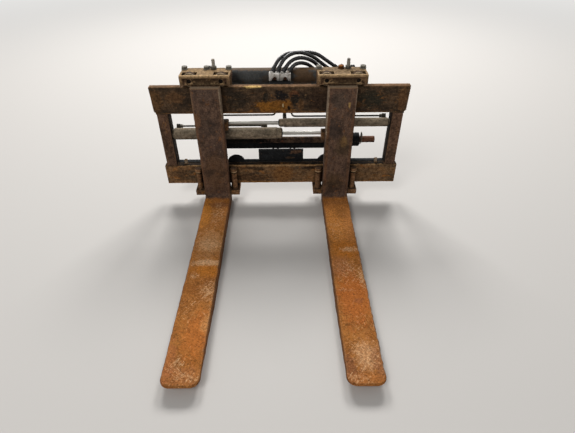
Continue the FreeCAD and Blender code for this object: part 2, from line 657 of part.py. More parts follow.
def port_block(side):
    """A white hydraulic block with an arched recess in front and two hose tails on top."""
    x0, x1 = sorted((side * BLOCK_GAP / 2, side * (BLOCK_GAP / 2 + BLOCK_WIDTH)))
    body = block(x0, x1, BLOCK_BEHIND, BLOCK_BEHIND + BLOCK_DEPTH, BLOCK_BOTTOM, BLOCK_TOP)
    middle = (x0 + x1) / 2
    recess = rod_y(middle, BLOCK_BEHIND - 1, BLOCK_BEHIND + BLOCK_ARCH, BLOCK_BOTTOM + 2, BLOCK_ARCH)
    body = body.cut(recess)
    for x, row in zip(HOSE_START, HOSES):
        if x * side > 0:
            lean = row[0]
            sunk = FERRULE_DIAMETER / 2
            tail = Part.makeCylinder(sunk, FERRULE_LENGTH + sunk, vec(x, BLOCK_MIDDLE, BLOCK_TOP) - lean * sunk, lean)
            body = body.fuse(tail)
    return body.removeSplitter()


def block_bracket():
    """The black angle behind the bar that carries both blocks."""
    half = SHELF_WIDTH / 2
    outline = [
        (UPPER_BAR_THICKNESS, BLOCK_BOTTOM),
        (UPPER_BAR_THICKNESS, BLOCK_BOTTOM - SHELF_DROP),
        (UPPER_BAR_THICKNESS + SHELF_THICKNESS, BLOCK_BOTTOM - SHELF_DROP),
        (UPPER_BAR_THICKNESS + SHELF_THICKNESS, BLOCK_BOTTOM - SHELF_THICKNESS),
        (BLOCK_BEHIND + SHELF_REACH, BLOCK_BOTTOM - SHELF_THICKNESS),
        (BLOCK_BEHIND + SHELF_REACH, BLOCK_BOTTOM),
    ]
    return side_profile(outline, -half, half)


def port_lane(height, diameter):
    """Where a pipe runs beside a barrel, above and behind it: its y and z."""
    reach = diameter / 2 + PIPE_STANDOFF
    turn = math.radians(PORT_ANGLE)
    return CYLINDER_BEHIND + reach * math.cos(turn), height + reach * math.sin(turn)


def port_boss(x, height, diameter):
    """A square pipe boss on the upper back of a barrel."""
    reach = diameter / 2 + PIPE_STANDOFF + PIPE_DIAMETER
    boss = block(-PORT_SIZE / 2, PORT_SIZE / 2, 0, reach, -PORT_SIZE / 2, PORT_SIZE / 2)
    boss.rotate(vec(0, 0, 0), vec(1, 0, 0), PORT_ANGLE)
    boss.translate(vec(x, CYLINDER_BEHIND, height))
    return boss.cut(rod_x(x - PORT_SIZE, x + PORT_SIZE, CYLINDER_BEHIND, height, diameter / 2))


LOWER_PORTS = (-LOWER_PORT_BESIDE_MIDDLE, PORT_FROM_POST - POST_INNER)
UPPER_PORTS = (UPPER_PORT_BESIDE_MIDDLE, POST_INNER - PORT_FROM_POST)
PIPE_DROP = BLOCK_MIDDLE + PIPE_OFF_MIDDLE
RISER_BESIDE_EAR = EAR_INNER - RISER_GAP
OUTER_PIPE_PLACE = HOSE_PITCH * OUTER_PIPE_SHARE


def lower_pipes():
    """Two steel pipes beside the lower barrel, rising behind the bar to the left block."""
    y, z = port_lane(LOWER_CYLINDER_HEIGHT, LOWER_CYLINDER_DIAMETER)
    pieces = []
    table = [
        # port x, side towards which the pipe leaves, riser x, height of the upper lane, block x
        (LOWER_PORTS[0], -1, -RISER_BESIDE_EAR + HOSE_PITCH, UPPER_BAR_BOTTOM - UPPER_LANE + NEAR_LANE_RISE, -HOSE_PITCH),
        (LOWER_PORTS[1], 1, -RISER_BESIDE_EAR, UPPER_BAR_BOTTOM - UPPER_LANE + FAR_LANE_RISE, -OUTER_PIPE_PLACE),
    ]
    for port, leave, riser, lane, top_x in table:
        start = port + leave * PORT_SIZE / 2
        points = [
            vec(start, y, z),
            vec(riser, y, z),
            vec(riser, y, lane),
            vec(top_x, y, lane),
            vec(top_x, PIPE_DROP, lane + UPPER_LANE),
            vec(top_x, PIPE_DROP, BLOCK_BOTTOM),
        ]
        pieces.append(bent_round(points, PIPE_DIAMETER, [PIPE_BEND] * 4))
        pieces.append(port_boss(port, LOWER_CYLINDER_HEIGHT, LOWER_CYLINDER_DIAMETER))
    return Part.makeCompound(pieces)


def upper_pipes():
    """Two steel pipes from the upper barrel's ports to the right block."""
    y, z = port_lane(UPPER_CYLINDER_HEIGHT, UPPER_CYLINDER_DIAMETER)
    near, far = UPPER_PORTS
    pieces = [port_boss(x, UPPER_CYLINDER_HEIGHT, UPPER_CYLINDER_DIAMETER) for x in UPPER_PORTS]
    points = [
        vec(far - PORT_SIZE / 2, y, z),
        vec(OUTER_PIPE_PLACE + PORT_SIZE, y, z),
        vec(OUTER_PIPE_PLACE, y, z + UPPER_LANE),
        vec(OUTER_PIPE_PLACE, PIPE_DROP, z + UPPER_LANE * 2),
        vec(OUTER_PIPE_PLACE, PIPE_DROP, BLOCK_BOTTOM),
    ]
    pieces.append(bent_round(points, PIPE_DIAMETER, [PIPE_BEND] * 3))
    out = math.radians(PORT_ANGLE)
    step = vec(0, math.cos(out), math.sin(out))
    face = vec(near, CYLINDER_BEHIND, UPPER_CYLINDER_HEIGHT)
    face = face + step * (UPPER_CYLINDER_DIAMETER / 2 + PIPE_STANDOFF + PIPE_DIAMETER)
    run = (PIPE_DROP - face.y) / step.y
    points = [
        face,
        face + step * run,
        vec(near, PIPE_DROP, BLOCK_BOTTOM),
    ]
    pieces.append(bent_round(points, PIPE_DIAMETER, [PIPE_BEND]))
    return Part.makeCompound(pieces)


HOSE_END_DIRECTION = vec(math.cos(math.radians(COUPLER_TILT)), 0, -math.sin(math.radians(COUPLER_TILT)))
COUPLER_STACK = vec(math.sin(math.radians(COUPLER_TILT)), 0, math.cos(math.radians(COUPLER_TILT)))
COUPLER_CENTRE = vec(COUPLER_ACROSS, COUPLER_BEHIND, TUBE_HEIGHT - COUPLER_DROP)


def coupler_at(k):
    """The middle of coupler k on the plate's hose side, the highest first."""
    return COUPLER_CENTRE + COUPLER_STACK * ((1.5 - k) * COUPLER_PITCH)


def tilted(shape):
    """Turn a piece built about X at the origin onto the couplers' slope."""
    turned = shape.copy()
    turned.rotate(vec(0, 0, 0), vec(0, 1, 0), COUPLER_TILT)
    return turned


def coupler_plate():
    """The bulkhead plate for the couplers, saddled on the back of the tube."""
    half = COUPLER_PITCH * 1.5 + COUPLER_PLATE_MARGIN
    plate = block(0, COUPLER_PLATE_THICKNESS, TUBE_BEHIND - COUPLER_BEHIND, COUPLER_PLATE_MARGIN, -half, half)
    for k in range(4):
        height = (1.5 - k) * COUPLER_PITCH
        plate = plate.cut(rod_x(-1, COUPLER_PLATE_THICKNESS + 1, 0, height, COUPLER_DIAMETER / 2))
    plate = tilted(plate)
    plate.translate(COUPLER_CENTRE)
    return plate.cut(rod_x(0, HALF_BAR, TUBE_BEHIND, TUBE_HEIGHT, TUBE_RADIUS))


def couplers():
    """Four bulkhead couplers, each with its collar against the plate."""
    pieces = []
    for k in range(4):
        body = rod_x(-COUPLER_LENGTH / 3, COUPLER_LENGTH, 0, 0, COUPLER_DIAMETER / 2)
        collar = rod_x(COUPLER_PLATE_THICKNESS, COUPLER_PLATE_THICKNESS * 2, 0, 0, COUPLER_DIAMETER / 2 + COUPLER_COLLAR)
        piece = tilted(body.fuse(collar).removeSplitter())
        piece.translate(coupler_at(k))
        pieces.append(piece)
    return Part.makeCompound(pieces)


def hose_points(k):
    """The route of hose k, the outermost and highest first."""
    lean, first_run, last_run, between = HOSES[k]
    start = vec(HOSE_START[k], BLOCK_MIDDLE, BLOCK_TOP) + lean * FERRULE_LENGTH
    end = coupler_at(k) - HOSE_END_DIRECTION * (COUPLER_LENGTH / 3)
    before_end = end - HOSE_END_DIRECTION * last_run
    return [start, start + lean * first_run] + [vec(*p) for p in between] + [before_end, end]


def hose(k):
    points = hose_points(k)
    radii = cord_radii(points)
    solid = bent_round(points, HOSE_DIAMETER, radii)
    runs = [round((b - a).Length) for a, b in zip(points, points[1:])]
    print("hose", k + 1, "radii", [round(r) for r in radii], "runs", runs)
    return solid


save("upper_bar", upper_bar())
save("lower_bar", lower_bar())
save("left_post", post(-1))
save("right_post", post(1))
save("rear_rail", rear_rail())
save("centre_plate", centre_plate())
save("left_ear", ear(-1))
save("right_ear", ear(1))
save("top_tube", top_tube())
save("cross_tube", cross_tube())
save("lock_pin", lock_pin())
save("lock_clip", lock_clip())
save("upper_barrel", barrel(1, UPPER_CYLINDER_HEIGHT, UPPER_CYLINDER_DIAMETER))
save("lower_barrel", barrel(-1, LOWER_CYLINDER_HEIGHT, LOWER_CYLINDER_DIAMETER))
save("left_port_block", port_block(-1))
save("right_port_block", port_block(1))
save("block_bracket", block_bracket())
save("lower_pipes", lower_pipes())
save("upper_pipes", upper_pipes())
save("coupler_plate", coupler_plate())
save("couplers", couplers())
for k in range(4):
    save("hose_" + str(k + 1), hose(k))

FORKS = [
    # name, fork place, side of the barrel its rod enters, height of that barrel
    ("left", LEFT_FORK_PLACE, 1, UPPER_CYLINDER_HEIGHT),
    ("right", RIGHT_FORK_PLACE, -1, LOWER_CYLINDER_HEIGHT),
]
for name, place, side, height in FORKS:
    save(name + "_fork", fork(place))
    save(name + "_hanger", hanger(place))
    save(name + "_jaw", jaw(place))
    save(name + "_hanger_bolts", hanger_bolts(place))
    save(name + "_axles", axles(place))
    save(name + "_guides", guides(place))
    save(name + "_rod", piston_rod(side, place, height))
    save(name + "_rod_bracket", rod_bracket(side, place, height))
    for number, x in enumerate(roller_places(place)):
        save(name + "_roller_" + str(number + 1), roller(x))
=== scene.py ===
import json
import math

import bpy
from mathutils import Matrix, Vector


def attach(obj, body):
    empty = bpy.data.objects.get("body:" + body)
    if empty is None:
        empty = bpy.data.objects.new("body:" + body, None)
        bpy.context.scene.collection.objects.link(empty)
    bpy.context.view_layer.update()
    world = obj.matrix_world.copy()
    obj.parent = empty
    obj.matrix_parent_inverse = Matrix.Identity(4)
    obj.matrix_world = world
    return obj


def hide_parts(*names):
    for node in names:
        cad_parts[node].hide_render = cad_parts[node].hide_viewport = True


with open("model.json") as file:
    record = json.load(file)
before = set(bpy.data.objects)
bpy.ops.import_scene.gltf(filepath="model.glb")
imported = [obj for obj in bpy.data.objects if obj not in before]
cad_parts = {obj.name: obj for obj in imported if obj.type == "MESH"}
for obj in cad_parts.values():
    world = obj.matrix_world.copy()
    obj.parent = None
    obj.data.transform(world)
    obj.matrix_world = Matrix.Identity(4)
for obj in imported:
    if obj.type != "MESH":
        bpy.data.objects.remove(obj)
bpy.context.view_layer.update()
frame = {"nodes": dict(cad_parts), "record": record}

bpy.context.scene.view_settings.view_transform = "Standard"

# Floor, light and camera.
# The carriage stands on a plain pale floor. One large soft lamp lights it from in front and two smaller ones
# from behind, so that its shadow falls forward between the forks. The camera looks 38 degrees down.
MM = 0.001
FLOOR_SIZE = 60.0
FLOOR_COLOUR = "#C9C5C0"
# the floor goes over into the background between these distances
FADE_START, FADE_END = 2.6, 7.5
BACKGROUND_COLOUR = "#E4E3E1"
SKY_COLOUR = "#F4F6F8"
SKY_STRENGTH = 0.27
LAMPS = [
    # name, place, size, watts
    ("front_lamp", (-3.2, -4.6, 6.4), 3.0, 205.0),
    ("back_left_lamp", (-1.4, 5.0, 4.8), 2.0, 245.0),
    ("back_right_lamp", (1.5, 5.0, 4.8), 2.0, 245.0),
]
LAMPS_AIM = (0, 0.1, 0.3)
CAMERA_PLACE = (0.0152, -1.3537, 1.2801)
CAMERA_LENS = 25.53
CAMERA_SENSOR = 36.0
CAMERA_DOWN, CAMERA_RIGHT, CAMERA_ROLL = 38.23, 0.53, 0.22


def linear(code):
    """The linear colour of an sRGB hex value."""
    values = [int(code[k:k + 2], 16) / 255 for k in (1, 3, 5)]
    return [v / 12.92 if v <= 0.04045 else ((v + 0.055) / 1.055) ** 2.4 for v in values] + [1.0]


def fill(node, sockets):
    """Set or link a node's sockets, by name or number or as a list in their order. A value is a number, a hex
    colour, an output, or a node that stands for its first output in use. A MapRange takes its value, then
    from, from, to and to; a Mix takes its share, and its colours as 6 and 7."""
    for socket, value in sockets.items() if isinstance(sockets, dict) else enumerate(sockets):
        if isinstance(value, bpy.types.Node):
            value = next(output for output in value.outputs if output.enabled)
        if isinstance(value, bpy.types.NodeSocket):
            node.id_data.links.new(value, node.inputs[socket])
        else:
            node.inputs[socket].default_value = linear(value) if isinstance(value, str) else value


def put(tree, kind, sockets=None, **settings):
    """Add one shader node with its settings and fill its sockets."""
    made = tree.nodes.new("ShaderNode" + kind)
    for name, value in settings.items():
        setattr(made, name, value)
    fill(made, sockets or {})
    return made


def new_finish(name):
    """A material with its shader, ready for its pattern."""
    finish = bpy.data.materials.new(name)
    finish.use_nodes = True
    return finish, finish.node_tree, finish.node_tree.nodes["Principled BSDF"]


def viewing_rays(tree):
    """1 where a ray comes from the camera, straight, mirrored or through glass, and 0 where it is light."""
    rays = put(tree, "LightPath")
    seen = rays.outputs["Is Camera Ray"]
    for kind in ("Is Glossy Ray", "Is Transmission Ray"):
        seen = put(tree, "Math", [seen, rays.outputs[kind]], operation="ADD")
    return seen


bpy.ops.mesh.primitive_plane_add(size=FLOOR_SIZE)
floor = bpy.context.object
floor.name = "floor"
# Painted concrete: matt and pale. Far away it goes over into the background, so that no horizon shows.
floor_finish, tree, shader = new_finish("painted_concrete")
fill(shader, {"Base Color": FLOOR_COLOUR, "Roughness": 0.75})
away = put(tree, "VectorMath", [put(tree, "TexCoord").outputs["Object"]], operation="LENGTH")
away = put(tree, "MapRange", [away, FADE_START, FADE_END], interpolation_type="SMOOTHSTEP")
away = put(tree, "Math", [away, viewing_rays(tree)], operation="MULTIPLY")
beyond = put(tree, "Emission", {"Color": BACKGROUND_COLOUR, "Strength": 1.0})
fill(tree.nodes["Material Output"], {"Surface": put(tree, "MixShader", [away, shader, beyond])})
floor.data.materials.append(floor_finish)

world = bpy.data.worlds.new("studio")
bpy.context.scene.world = world
world.use_nodes = True
sky = world.node_tree
sky_light = sky.nodes["Background"]
fill(sky_light, {"Color": SKY_COLOUR, "Strength": SKY_STRENGTH})
shown = put(sky, "Background", {"Color": BACKGROUND_COLOUR, "Strength": 1.0})
choice = put(sky, "MixShader", [viewing_rays(sky), sky_light, shown])
fill(sky.nodes["World Output"], {"Surface": choice})

for name, place, size, watts in LAMPS:
    lamp = bpy.data.lights.new(name, "AREA")
    lamp.size = size
    lamp.energy = watts
    stand = bpy.data.objects.new(name, lamp)
    stand.location = place
    stand.rotation_euler = (Vector(LAMPS_AIM) - Vector(place)).to_track_quat("-Z", "Y").to_euler()
    bpy.context.scene.collection.objects.link(stand)

lens = bpy.data.cameras.new("camera")
lens.lens = CAMERA_LENS
lens.sensor_width = CAMERA_SENSOR
camera = bpy.data.objects.new("camera", lens)
aim = Matrix.Rotation(math.radians(-CAMERA_RIGHT), 4, "Z")
aim = aim @ Matrix.Rotation(math.radians(90 - CAMERA_DOWN), 4, "X")
aim = aim @ Matrix.Rotation(math.radians(-CAMERA_ROLL), 4, "Z")
camera.matrix_world = Matrix.Translation(CAMERA_PLACE) @ aim
bpy.context.scene.collection.objects.link(camera)
bpy.context.scene.camera = camera

# Bars and posts.
# Two hot-rolled flat bars with two posts of thick flat bar welded between them. Most of the dark paint is
# gone and brown mill scale and rust show, with the edges rubbed bright where the rollers and forks run.
BODY_OF = {node: body for body, nodes in frame["record"]["behaviour"]["bodies"].items() for node in nodes}
# how far the bars' front faces lie behind the frame's origin
BARS_FRONT = 439.5
# angles up to which faces count as flat, from which an edge is rounded, and up to which it is shaded smooth
FLAT_ANGLE, EDGE_ANGLE, SMOOTH_ANGLE = 0.6, 34, 38
MERGE_WITHIN = 0.02
DENT_SIZE = 55
# Sizes of the rust's patterns. Scratches, mottles and pits are about twice as coarse as real ones, and worn
# edges twice as wide, so that they show.
BLOOM_SIZE, SCRATCH_SIZE, MOTTLE_SIZE, PIT_SIZE = 24, 5, 13, 4
CORNER_SHADE_REACH = 28
# how much of its colour a face keeps deep in a corner, where it is darkened as painted shade
CORNER_SHADE_SHARE = 0.35
# how ragged a spot's edge is, and where the spot begins and is full
SPOT_EDGE = (2.8, 2.38, 2.14)
UP = (0, 0, 1)
UPPER_BAR_SPOTS_AND_SHADE = [
    # middle across, behind the front faces and up, reach each way, colour and how strongly it shows; the dark
    # one at -200, beside the left shank, is painted shade
    ((-30, 0, 512), (100, 40, 34), "#855722", 0.9), ((20, 0, 530), (60, 40, 26), "#7C5226", 0.8),
    ((8, 0, 566), (40, 40, 26), "#1B1B1D", 0.92), ((-66, 0, 562), (13, 40, 34), "#26241F", 0.8),
    ((62, 0, 572), (26, 40, 22), "#66402A", 0.7), ((66, 0, 544), (20, 40, 36), "#1F201E", 0.9),
    ((40, 0, 508), (8, 40, 14), "#12110F", 0.95), ((96, 0, 520), (16, 40, 30), "#6A4A2C", 0.5),
    ((13, 0, 519), (4, 20, 9), "#CDB98F", 0.9), ((-125, 0, 608), (46, 16, 7), "#DDB874", 0.95),
    ((-200, 0, 545), (60, 40, 46), "#2F2922", 0.7), ((420, 0, 548), (80, 40, 46), "#2C2B23", 0.75),
    ((560, 0, 545), (24, 40, 60), "#62442B", 0.7), ((-566, 0, 545), (30, 40, 60), "#644629", 0.6),
    ((170, 0, 545), (40, 40, 60), "#3A2A20", 0.6), ((-20, 0, 484), (560, 8, 6), "#80562C", 0.6),
    ((-480, 0, 560), (50, 8, 30), "#6A4A2E", 0.5), ((330, 0, 520), (60, 8, 20), "#6B4A2C", 0.5),
]
LOWER_BAR_SPOTS = [
    ((10, 0, 150), (60, 40, 60), "#80552B", 0.6), ((-160, 0, 128), (120, 40, 24), "#463324", 0.8),
    ((170, 0, 184), (70, 40, 12), "#241C16", 0.8), ((-170, 0, 186), (60, 40, 10), "#35281D", 0.6),
    ((440, 0, 150), (90, 40, 44), "#6C5137", 0.5), ((-520, 0, 150), (50, 40, 40), "#4C3725", 0.6),
    ((20, 2, 199), (520, 7, 6), "#9C7A54", 0.8), ((0, 0, 99), (560, 8, 6), "#8E5F2C", 0.7),
    ((240, 0, 178), (22, 8, 9), "#1E1712", 0.8), ((-110, 0, 176), (26, 8, 10), "#241B14", 0.7),
    ((485, 24, 214), (12, 12, 11), "#9A8A76", 0.85), ((-485, 24, 214), (12, 12, 11), "#9A8A76", 0.85),
]


def at(x, y, z):
    """A place in the frame from millimetres across, behind the bars' front faces and above the floor."""
    return Vector((x, y + BARS_FRONT, z)) * MM


def only(piece):
    """Select one piece and nothing else."""
    bpy.ops.object.select_all(action="DESELECT")
    piece.select_set(True)
    bpy.context.view_layer.objects.active = piece


def fix_shape(piece):
    """Apply a piece's modifiers and place, and shade it smooth up to its edges."""
    only(piece)
    for modifier in list(piece.modifiers):
        bpy.ops.object.modifier_apply(modifier=modifier.name)
    bpy.ops.object.transform_apply(location=True, rotation=True, scale=True)
    bpy.ops.object.shade_smooth_by_angle(angle=math.radians(SMOOTH_ANGLE))


def fit_piece(piece, name, body, slot, finish, *nodes):
    """Name a finished piece, give it its finish and set it in the frame."""
    piece.name = name
    piece.data.name = name
    piece.data.materials.clear()
    piece.data.materials.append(finish)
    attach(piece, body)
    if nodes:
        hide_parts(*nodes)


def add_dents(piece, name, size, strength, middle):
    """An uneven skin: a displacement by a cloudy pattern that goes on from piece to piece."""
    clouds = bpy.data.textures.new(name, "CLOUDS")
    clouds.noise_scale = size * MM
    push = piece.modifiers.new(name, "DISPLACE")
    push.texture = clouds
    push.texture_coords = "GLOBAL"
    push.strength = strength * MM
    push.mid_level = middle
    return push


def cut_faces(piece, places, way):
    """Cut all faces of a piece through at some places, across one way."""
    only(piece)
    bpy.ops.object.mode_set(mode="EDIT")
    for place in places:
        bpy.ops.mesh.select_all(action="SELECT")
        bpy.ops.mesh.bisect(plane_co=place, plane_no=way)
    bpy.ops.object.mode_set(mode="OBJECT")


def eased(node, slot, finish, edge=2.0, dent=0.0, pitch=30.0, along=(0,)):
    """The piece as it came from the saw, with its edges ground or worn round and its flat faces a little
    uneven. along are the axes across which its faces are cut at the pitch, to let the dents show."""
    piece = bpy.data.objects.new(node + "_worn", frame["nodes"][node].data.copy())
    bpy.context.scene.collection.objects.link(piece)
    only(piece)
    bpy.ops.object.mode_set(mode="EDIT")
    bpy.ops.mesh.select_all(action="SELECT")
    bpy.ops.mesh.remove_doubles(threshold=MERGE_WITHIN * MM)
    bpy.ops.mesh.dissolve_limited(angle_limit=math.radians(FLAT_ANGLE))
    bpy.ops.object.mode_set(mode="OBJECT")
    bevel = piece.modifiers.new("edge", "BEVEL")
    bevel.width = edge * MM
    bevel.segments = 2
    bevel.limit_method = "ANGLE"
    bevel.angle_limit = math.radians(EDGE_ANGLE)
    bevel.use_clamp_overlap = False
    bpy.ops.object.modifier_apply(modifier="edge")
    if dent:
        low = [min(v.co[k] for v in piece.data.vertices) for k in range(3)]
        high = [max(v.co[k] for v in piece.data.vertices) for k in range(3)]
        for axis in along:
            way = Vector([1.0 if k == axis else 0.0 for k in range(3)])
            length = high[axis] - low[axis]
            count = int(length / (pitch * MM))
            cut_faces(piece, [Vector(low) + way * (length * k / count) for k in range(1, count)], way)
        add_dents(piece, "dents", DENT_SIZE, dent, 0.85)
    fix_shape(piece)
    fit_piece(piece, node + "_worn", BODY_OF[node], slot, finish, node)
    return piece


def distance(tree, coords, middle, reach):
    """How far a place lies from a middle, as a share of the reach each way."""
    near = put(tree, "Mapping", {"Vector": coords, "Location": middle, "Scale": [r * MM for r in reach]},
               vector_type="TEXTURE")
    return put(tree, "VectorMath", [near], operation="LENGTH")


def patched(tree, under, coords, bloom, edge, middle, reach, colour, strength):
    """A colour with a patch of another tone on it, whose edge the rust's bloom makes ragged."""
    ragged, start, full = edge
    span = distance(tree, coords, middle, reach)
    span = put(tree, "Math", [bloom, ragged, span], operation="MULTIPLY_ADD")
    there = put(tree, "MapRange", [span, start, full, 0.0, strength])
    return put(tree, "Mix", {0: there, 6: under, 7: colour}, data_type="RGBA")


def corner_shade_share(tree, least):
    """1 on a free face, and down to the least in a corner: painted shade, deepest in the tightest corners."""
    corner = put(tree, "AmbientOcclusion", {"Distance": CORNER_SHADE_REACH * MM}, samples=6)
    return put(tree, "MapRange", [corner.outputs["AO"], 0.30, 0.85, least])


def on_edges(tree, radius, normal, start, full):
    """0 on a flat face, and up to 1 on an edge, where the normal of a rounded edge leaves the face's own."""
    rounded = put(tree, "Bevel", {"Radius": radius * MM}, samples=6)
    face = put(tree, "NewGeometry").outputs[normal]
    bend = put(tree, "VectorMath", [rounded, face], operation="DOT_PRODUCT")
    return put(tree, "MapRange", [bend, start, full])


def weathered_steel(name, coat, grime, rust, bare, rusted=0.5, patch=60.0, wear=3.5, scratches=0.35,
                    mottling=1.0, shine=0.06, spots=(), facing=(), stretch=(1, 1, 1)):
    """Old plate or bar: mill scale and thin paint, brown and grey by turns, rust blooming through it, bare at
    its edges and darkened in its corners by painted shade. spots are places where one more colour lies, on
    some pieces painted light and shade. facing is a colour given to the sides that look one way, on some
    pieces dust and wear,
    on others painted light and shade: the way, colour and how strongly. stretch draws the patterns out."""
    finish, tree, shader = new_finish(name)
    place = put(tree, "TexCoord")
    coords = place.outputs["Object"]
    drawn = put(tree, "Mapping", {"Vector": coords, "Scale": stretch})
    fine = put(tree, "Mapping", {"Vector": drawn, "Scale": (0.3, 0.3, 1) if stretch[2] >= 1 else (1, 1, 0.3)})
    broad, bloom, scratch, mottle, pits = [
        put(tree, "TexNoise", {"Vector": vector, "Scale": 1 / (size * MM), "Detail": detail,
                               "Roughness": roughness, "Distortion": twist})
        for vector, size, detail, roughness, twist in (
            (drawn, patch, 5, 0.65, 0), (drawn, BLOOM_SIZE, 8, 0.72, 0.5), (fine, SCRATCH_SIZE, 4, 0.75, 0.6),
            (coords, MOTTLE_SIZE, 5, 0.75, 0), (coords, PIT_SIZE, 3, 0.6, 0))]
    tone = put(tree, "MapRange", [broad, 0.38, 0.60])
    colour = put(tree, "Mix", {0: tone, 6: grime, 7: coat}, data_type="RGBA")
    blooming = put(tree, "MapRange", [bloom, 0.64 - 0.20 * rusted, 0.70 - 0.18 * rusted])
    colour = put(tree, "Mix", {0: blooming, 6: colour, 7: rust}, data_type="RGBA")
    # each facing colour is dust and wear on some pieces and painted light and shade on others
    for way, facing_colour, strength in facing:
        turned_to = put(tree, "VectorMath", [place.outputs["Normal"], way], operation="DOT_PRODUCT")
        facing_share = put(tree, "MapRange", [turned_to, 0.5, 0.85, 0.0, strength])
        patchy = put(tree, "MapRange", [bloom, 0.30, 0.50, 0.55])
        facing_share = put(tree, "Math", [facing_share, patchy], operation="MULTIPLY")
        colour = put(tree, "Mix", {0: facing_share, 6: colour, 7: facing_colour}, data_type="RGBA")
    for centre, reach, spot_colour, strength in spots:
        colour = patched(tree, colour, coords, bloom, SPOT_EDGE, at(*centre), reach, spot_colour, strength)
    scratched = put(tree, "MapRange", [scratch, 0.60, 0.66, 0.0, scratches])
    colour = put(tree, "Mix", {0: scratched, 6: colour, 7: bare}, data_type="RGBA")
    # mottles and pits darken and lighten the colour by turns, and painted shade darkens the corners
    corner = corner_shade_share(tree, CORNER_SHADE_SHARE)
    shade = corner
    for pattern, low, high, down, up in ((mottle, 0.36, 0.64, 0.55, 0.45), (pits, 0.35, 0.65, 0.28, 0.28)):
        change = put(tree, "MapRange", [pattern, low, high, 1 - down * mottling, 1 + up * mottling])
        shade = put(tree, "Math", [shade, change], operation="MULTIPLY")
    colour = put(tree, "Mix", {0: 1.0, 6: colour, 7: shade}, data_type="RGBA", blend_type="MULTIPLY")
    rubbed = on_edges(tree, wear, "Normal", 0.99, 0.90)
    uneven = put(tree, "MapRange", [bloom, 0.34, 0.62, 0.25])
    for share in (uneven, corner):
        rubbed = put(tree, "Math", [rubbed, share], operation="MULTIPLY")
    colour = put(tree, "Mix", {0: rubbed, 6: colour, 7: bare}, data_type="RGBA")
    matt = put(tree, "MapRange", [broad, 0.3, 0.7, 0.68, 0.95])
    height = put(tree, "Math", [mottle, 2.0, pits], operation="MULTIPLY_ADD")
    skin = put(tree, "Bump", {"Height": height, "Strength": 0.6, "Distance": 1.2 * MM})
    fill(shader, {"Base Color": colour, "Roughness": matt, "Specular IOR Level": shine, "Normal": skin})
    return finish


# Hot-rolled flat bar: dark brown scale with orange rust and black grease at the middle, the top rolled bright
# and tan. The lower bar is browner, and its top face is painted near black as the shade it lies in.
upper_bar_finish = weathered_steel(
    "hot_rolled_upper_bar", "#5A4634", "#352B22", "#76502E", "#A98459", rusted=0.30, patch=80, wear=7.0,
    stretch=(0.6, 1, 1.2), facing=[(UP, "#7E6046", 0.9)], spots=UPPER_BAR_SPOTS_AND_SHADE)
lower_bar_finish = weathered_steel(
    "hot_rolled_lower_bar", "#826040", "#574634", "#8A5A2E", "#A98255", rusted=0.45, patch=60, wear=6.5,
    stretch=(0.6, 1, 1.5), facing=[(UP, "#1B1815", 0.97)], spots=LOWER_BAR_SPOTS)
eased("upper_bar", "rusty_bar_steel", upper_bar_finish, edge=1.5, dent=0.8, along=(0, 2))
eased("lower_bar", "rusty_bar_steel", lower_bar_finish, edge=1.5, dent=0.8, along=(0, 2))
for side, inward in (("left", (1, 0, 0)), ("right", (-1, 0, 0))):
    post_finish = weathered_steel(
        side + "_post_bar", "#6C5140", "#4A382B", "#7C5836", "#9C7A58", rusted=0.3, patch=60, wear=5.0,
        stretch=(1, 1, 0.5), facing=[(inward, "#15120F", 0.97)])
    eased(side + "_post", "rusty_bar_steel", post_finish, edge=2.0, dent=0.6, along=(2,))

# Hoses.
# Four rubber hoses arch from the port blocks over the tube to the couplers behind the right hanger. They are
# smooth-covered two-wire hose, black and a little glossy, crimped into their end fittings.
HOSE_DIAMETER = 17
HOSE_DUST_SIZE = 22
HOSE_ROUTES = [
    # length, then the listed points in metres
    (0.369, [(-0.0269, 0.5358, 0.6581), (-0.0163, 0.5548, 0.6757), (0.0080, 0.5845, 0.6950),
             (0.0420, 0.6075, 0.7030), (0.0820, 0.6225, 0.7000), (0.1200, 0.6405, 0.6980),
             (0.1630, 0.6425, 0.6940), (0.2009, 0.6415, 0.6750), (0.2729, 0.6415, 0.6245)]),
    (0.337, [(-0.0029, 0.5358, 0.6581), (0.0077, 0.5548, 0.6757), (0.0280, 0.5745, 0.6950),
             (0.0600, 0.5935, 0.7070), (0.0960, 0.6085, 0.7070), (0.1310, 0.6185, 0.6940),
             (0.1650, 0.6285, 0.6760), (0.1923, 0.6415, 0.6505), (0.2586, 0.6415, 0.6040)]),
    (0.293, [(0.0228, 0.5380, 0.6538), (0.0354, 0.5596, 0.6664), (0.0580, 0.5795, 0.6800),
             (0.0860, 0.5965, 0.6850), (0.1160, 0.6075, 0.6810), (0.1470, 0.6125, 0.6690),
             (0.1720, 0.6235, 0.6500), (0.1992, 0.6415, 0.6151), (0.2443, 0.6415, 0.5836)]),
    (0.254, [(0.0480, 0.5387, 0.6509), (0.0630, 0.5627, 0.6608), (0.0820, 0.5835, 0.6640),
             (0.1060, 0.6015, 0.6600), (0.1310, 0.6155, 0.6500), (0.1530, 0.6255, 0.6320),
             (0.1720, 0.6345, 0.6100), (0.1931, 0.6415, 0.5889), (0.2299, 0.6415, 0.5631)]),
]
# Smooth rubber cover: near black, with a dull shine and a film of dust.
hose_finish, tree, shader = new_finish("hose_cover_rubber")
coords = put(tree, "TexCoord").outputs["Object"]
dust = put(tree, "TexNoise", {"Vector": coords, "Scale": 1 / (HOSE_DUST_SIZE * MM), "Detail": 6.0,
                              "Roughness": 0.65})
film = put(tree, "MapRange", [dust, 0.45, 0.75, 0.0, 0.4])
rubber = put(tree, "Mix", {0: film, 6: "#0E0E0F", 7: "#32302D"}, data_type="RGBA")
sheen = put(tree, "MapRange", [dust, 0.3, 0.7, 0.17, 0.34])
fill(shader, {"Base Color": rubber, "Roughness": sheen})

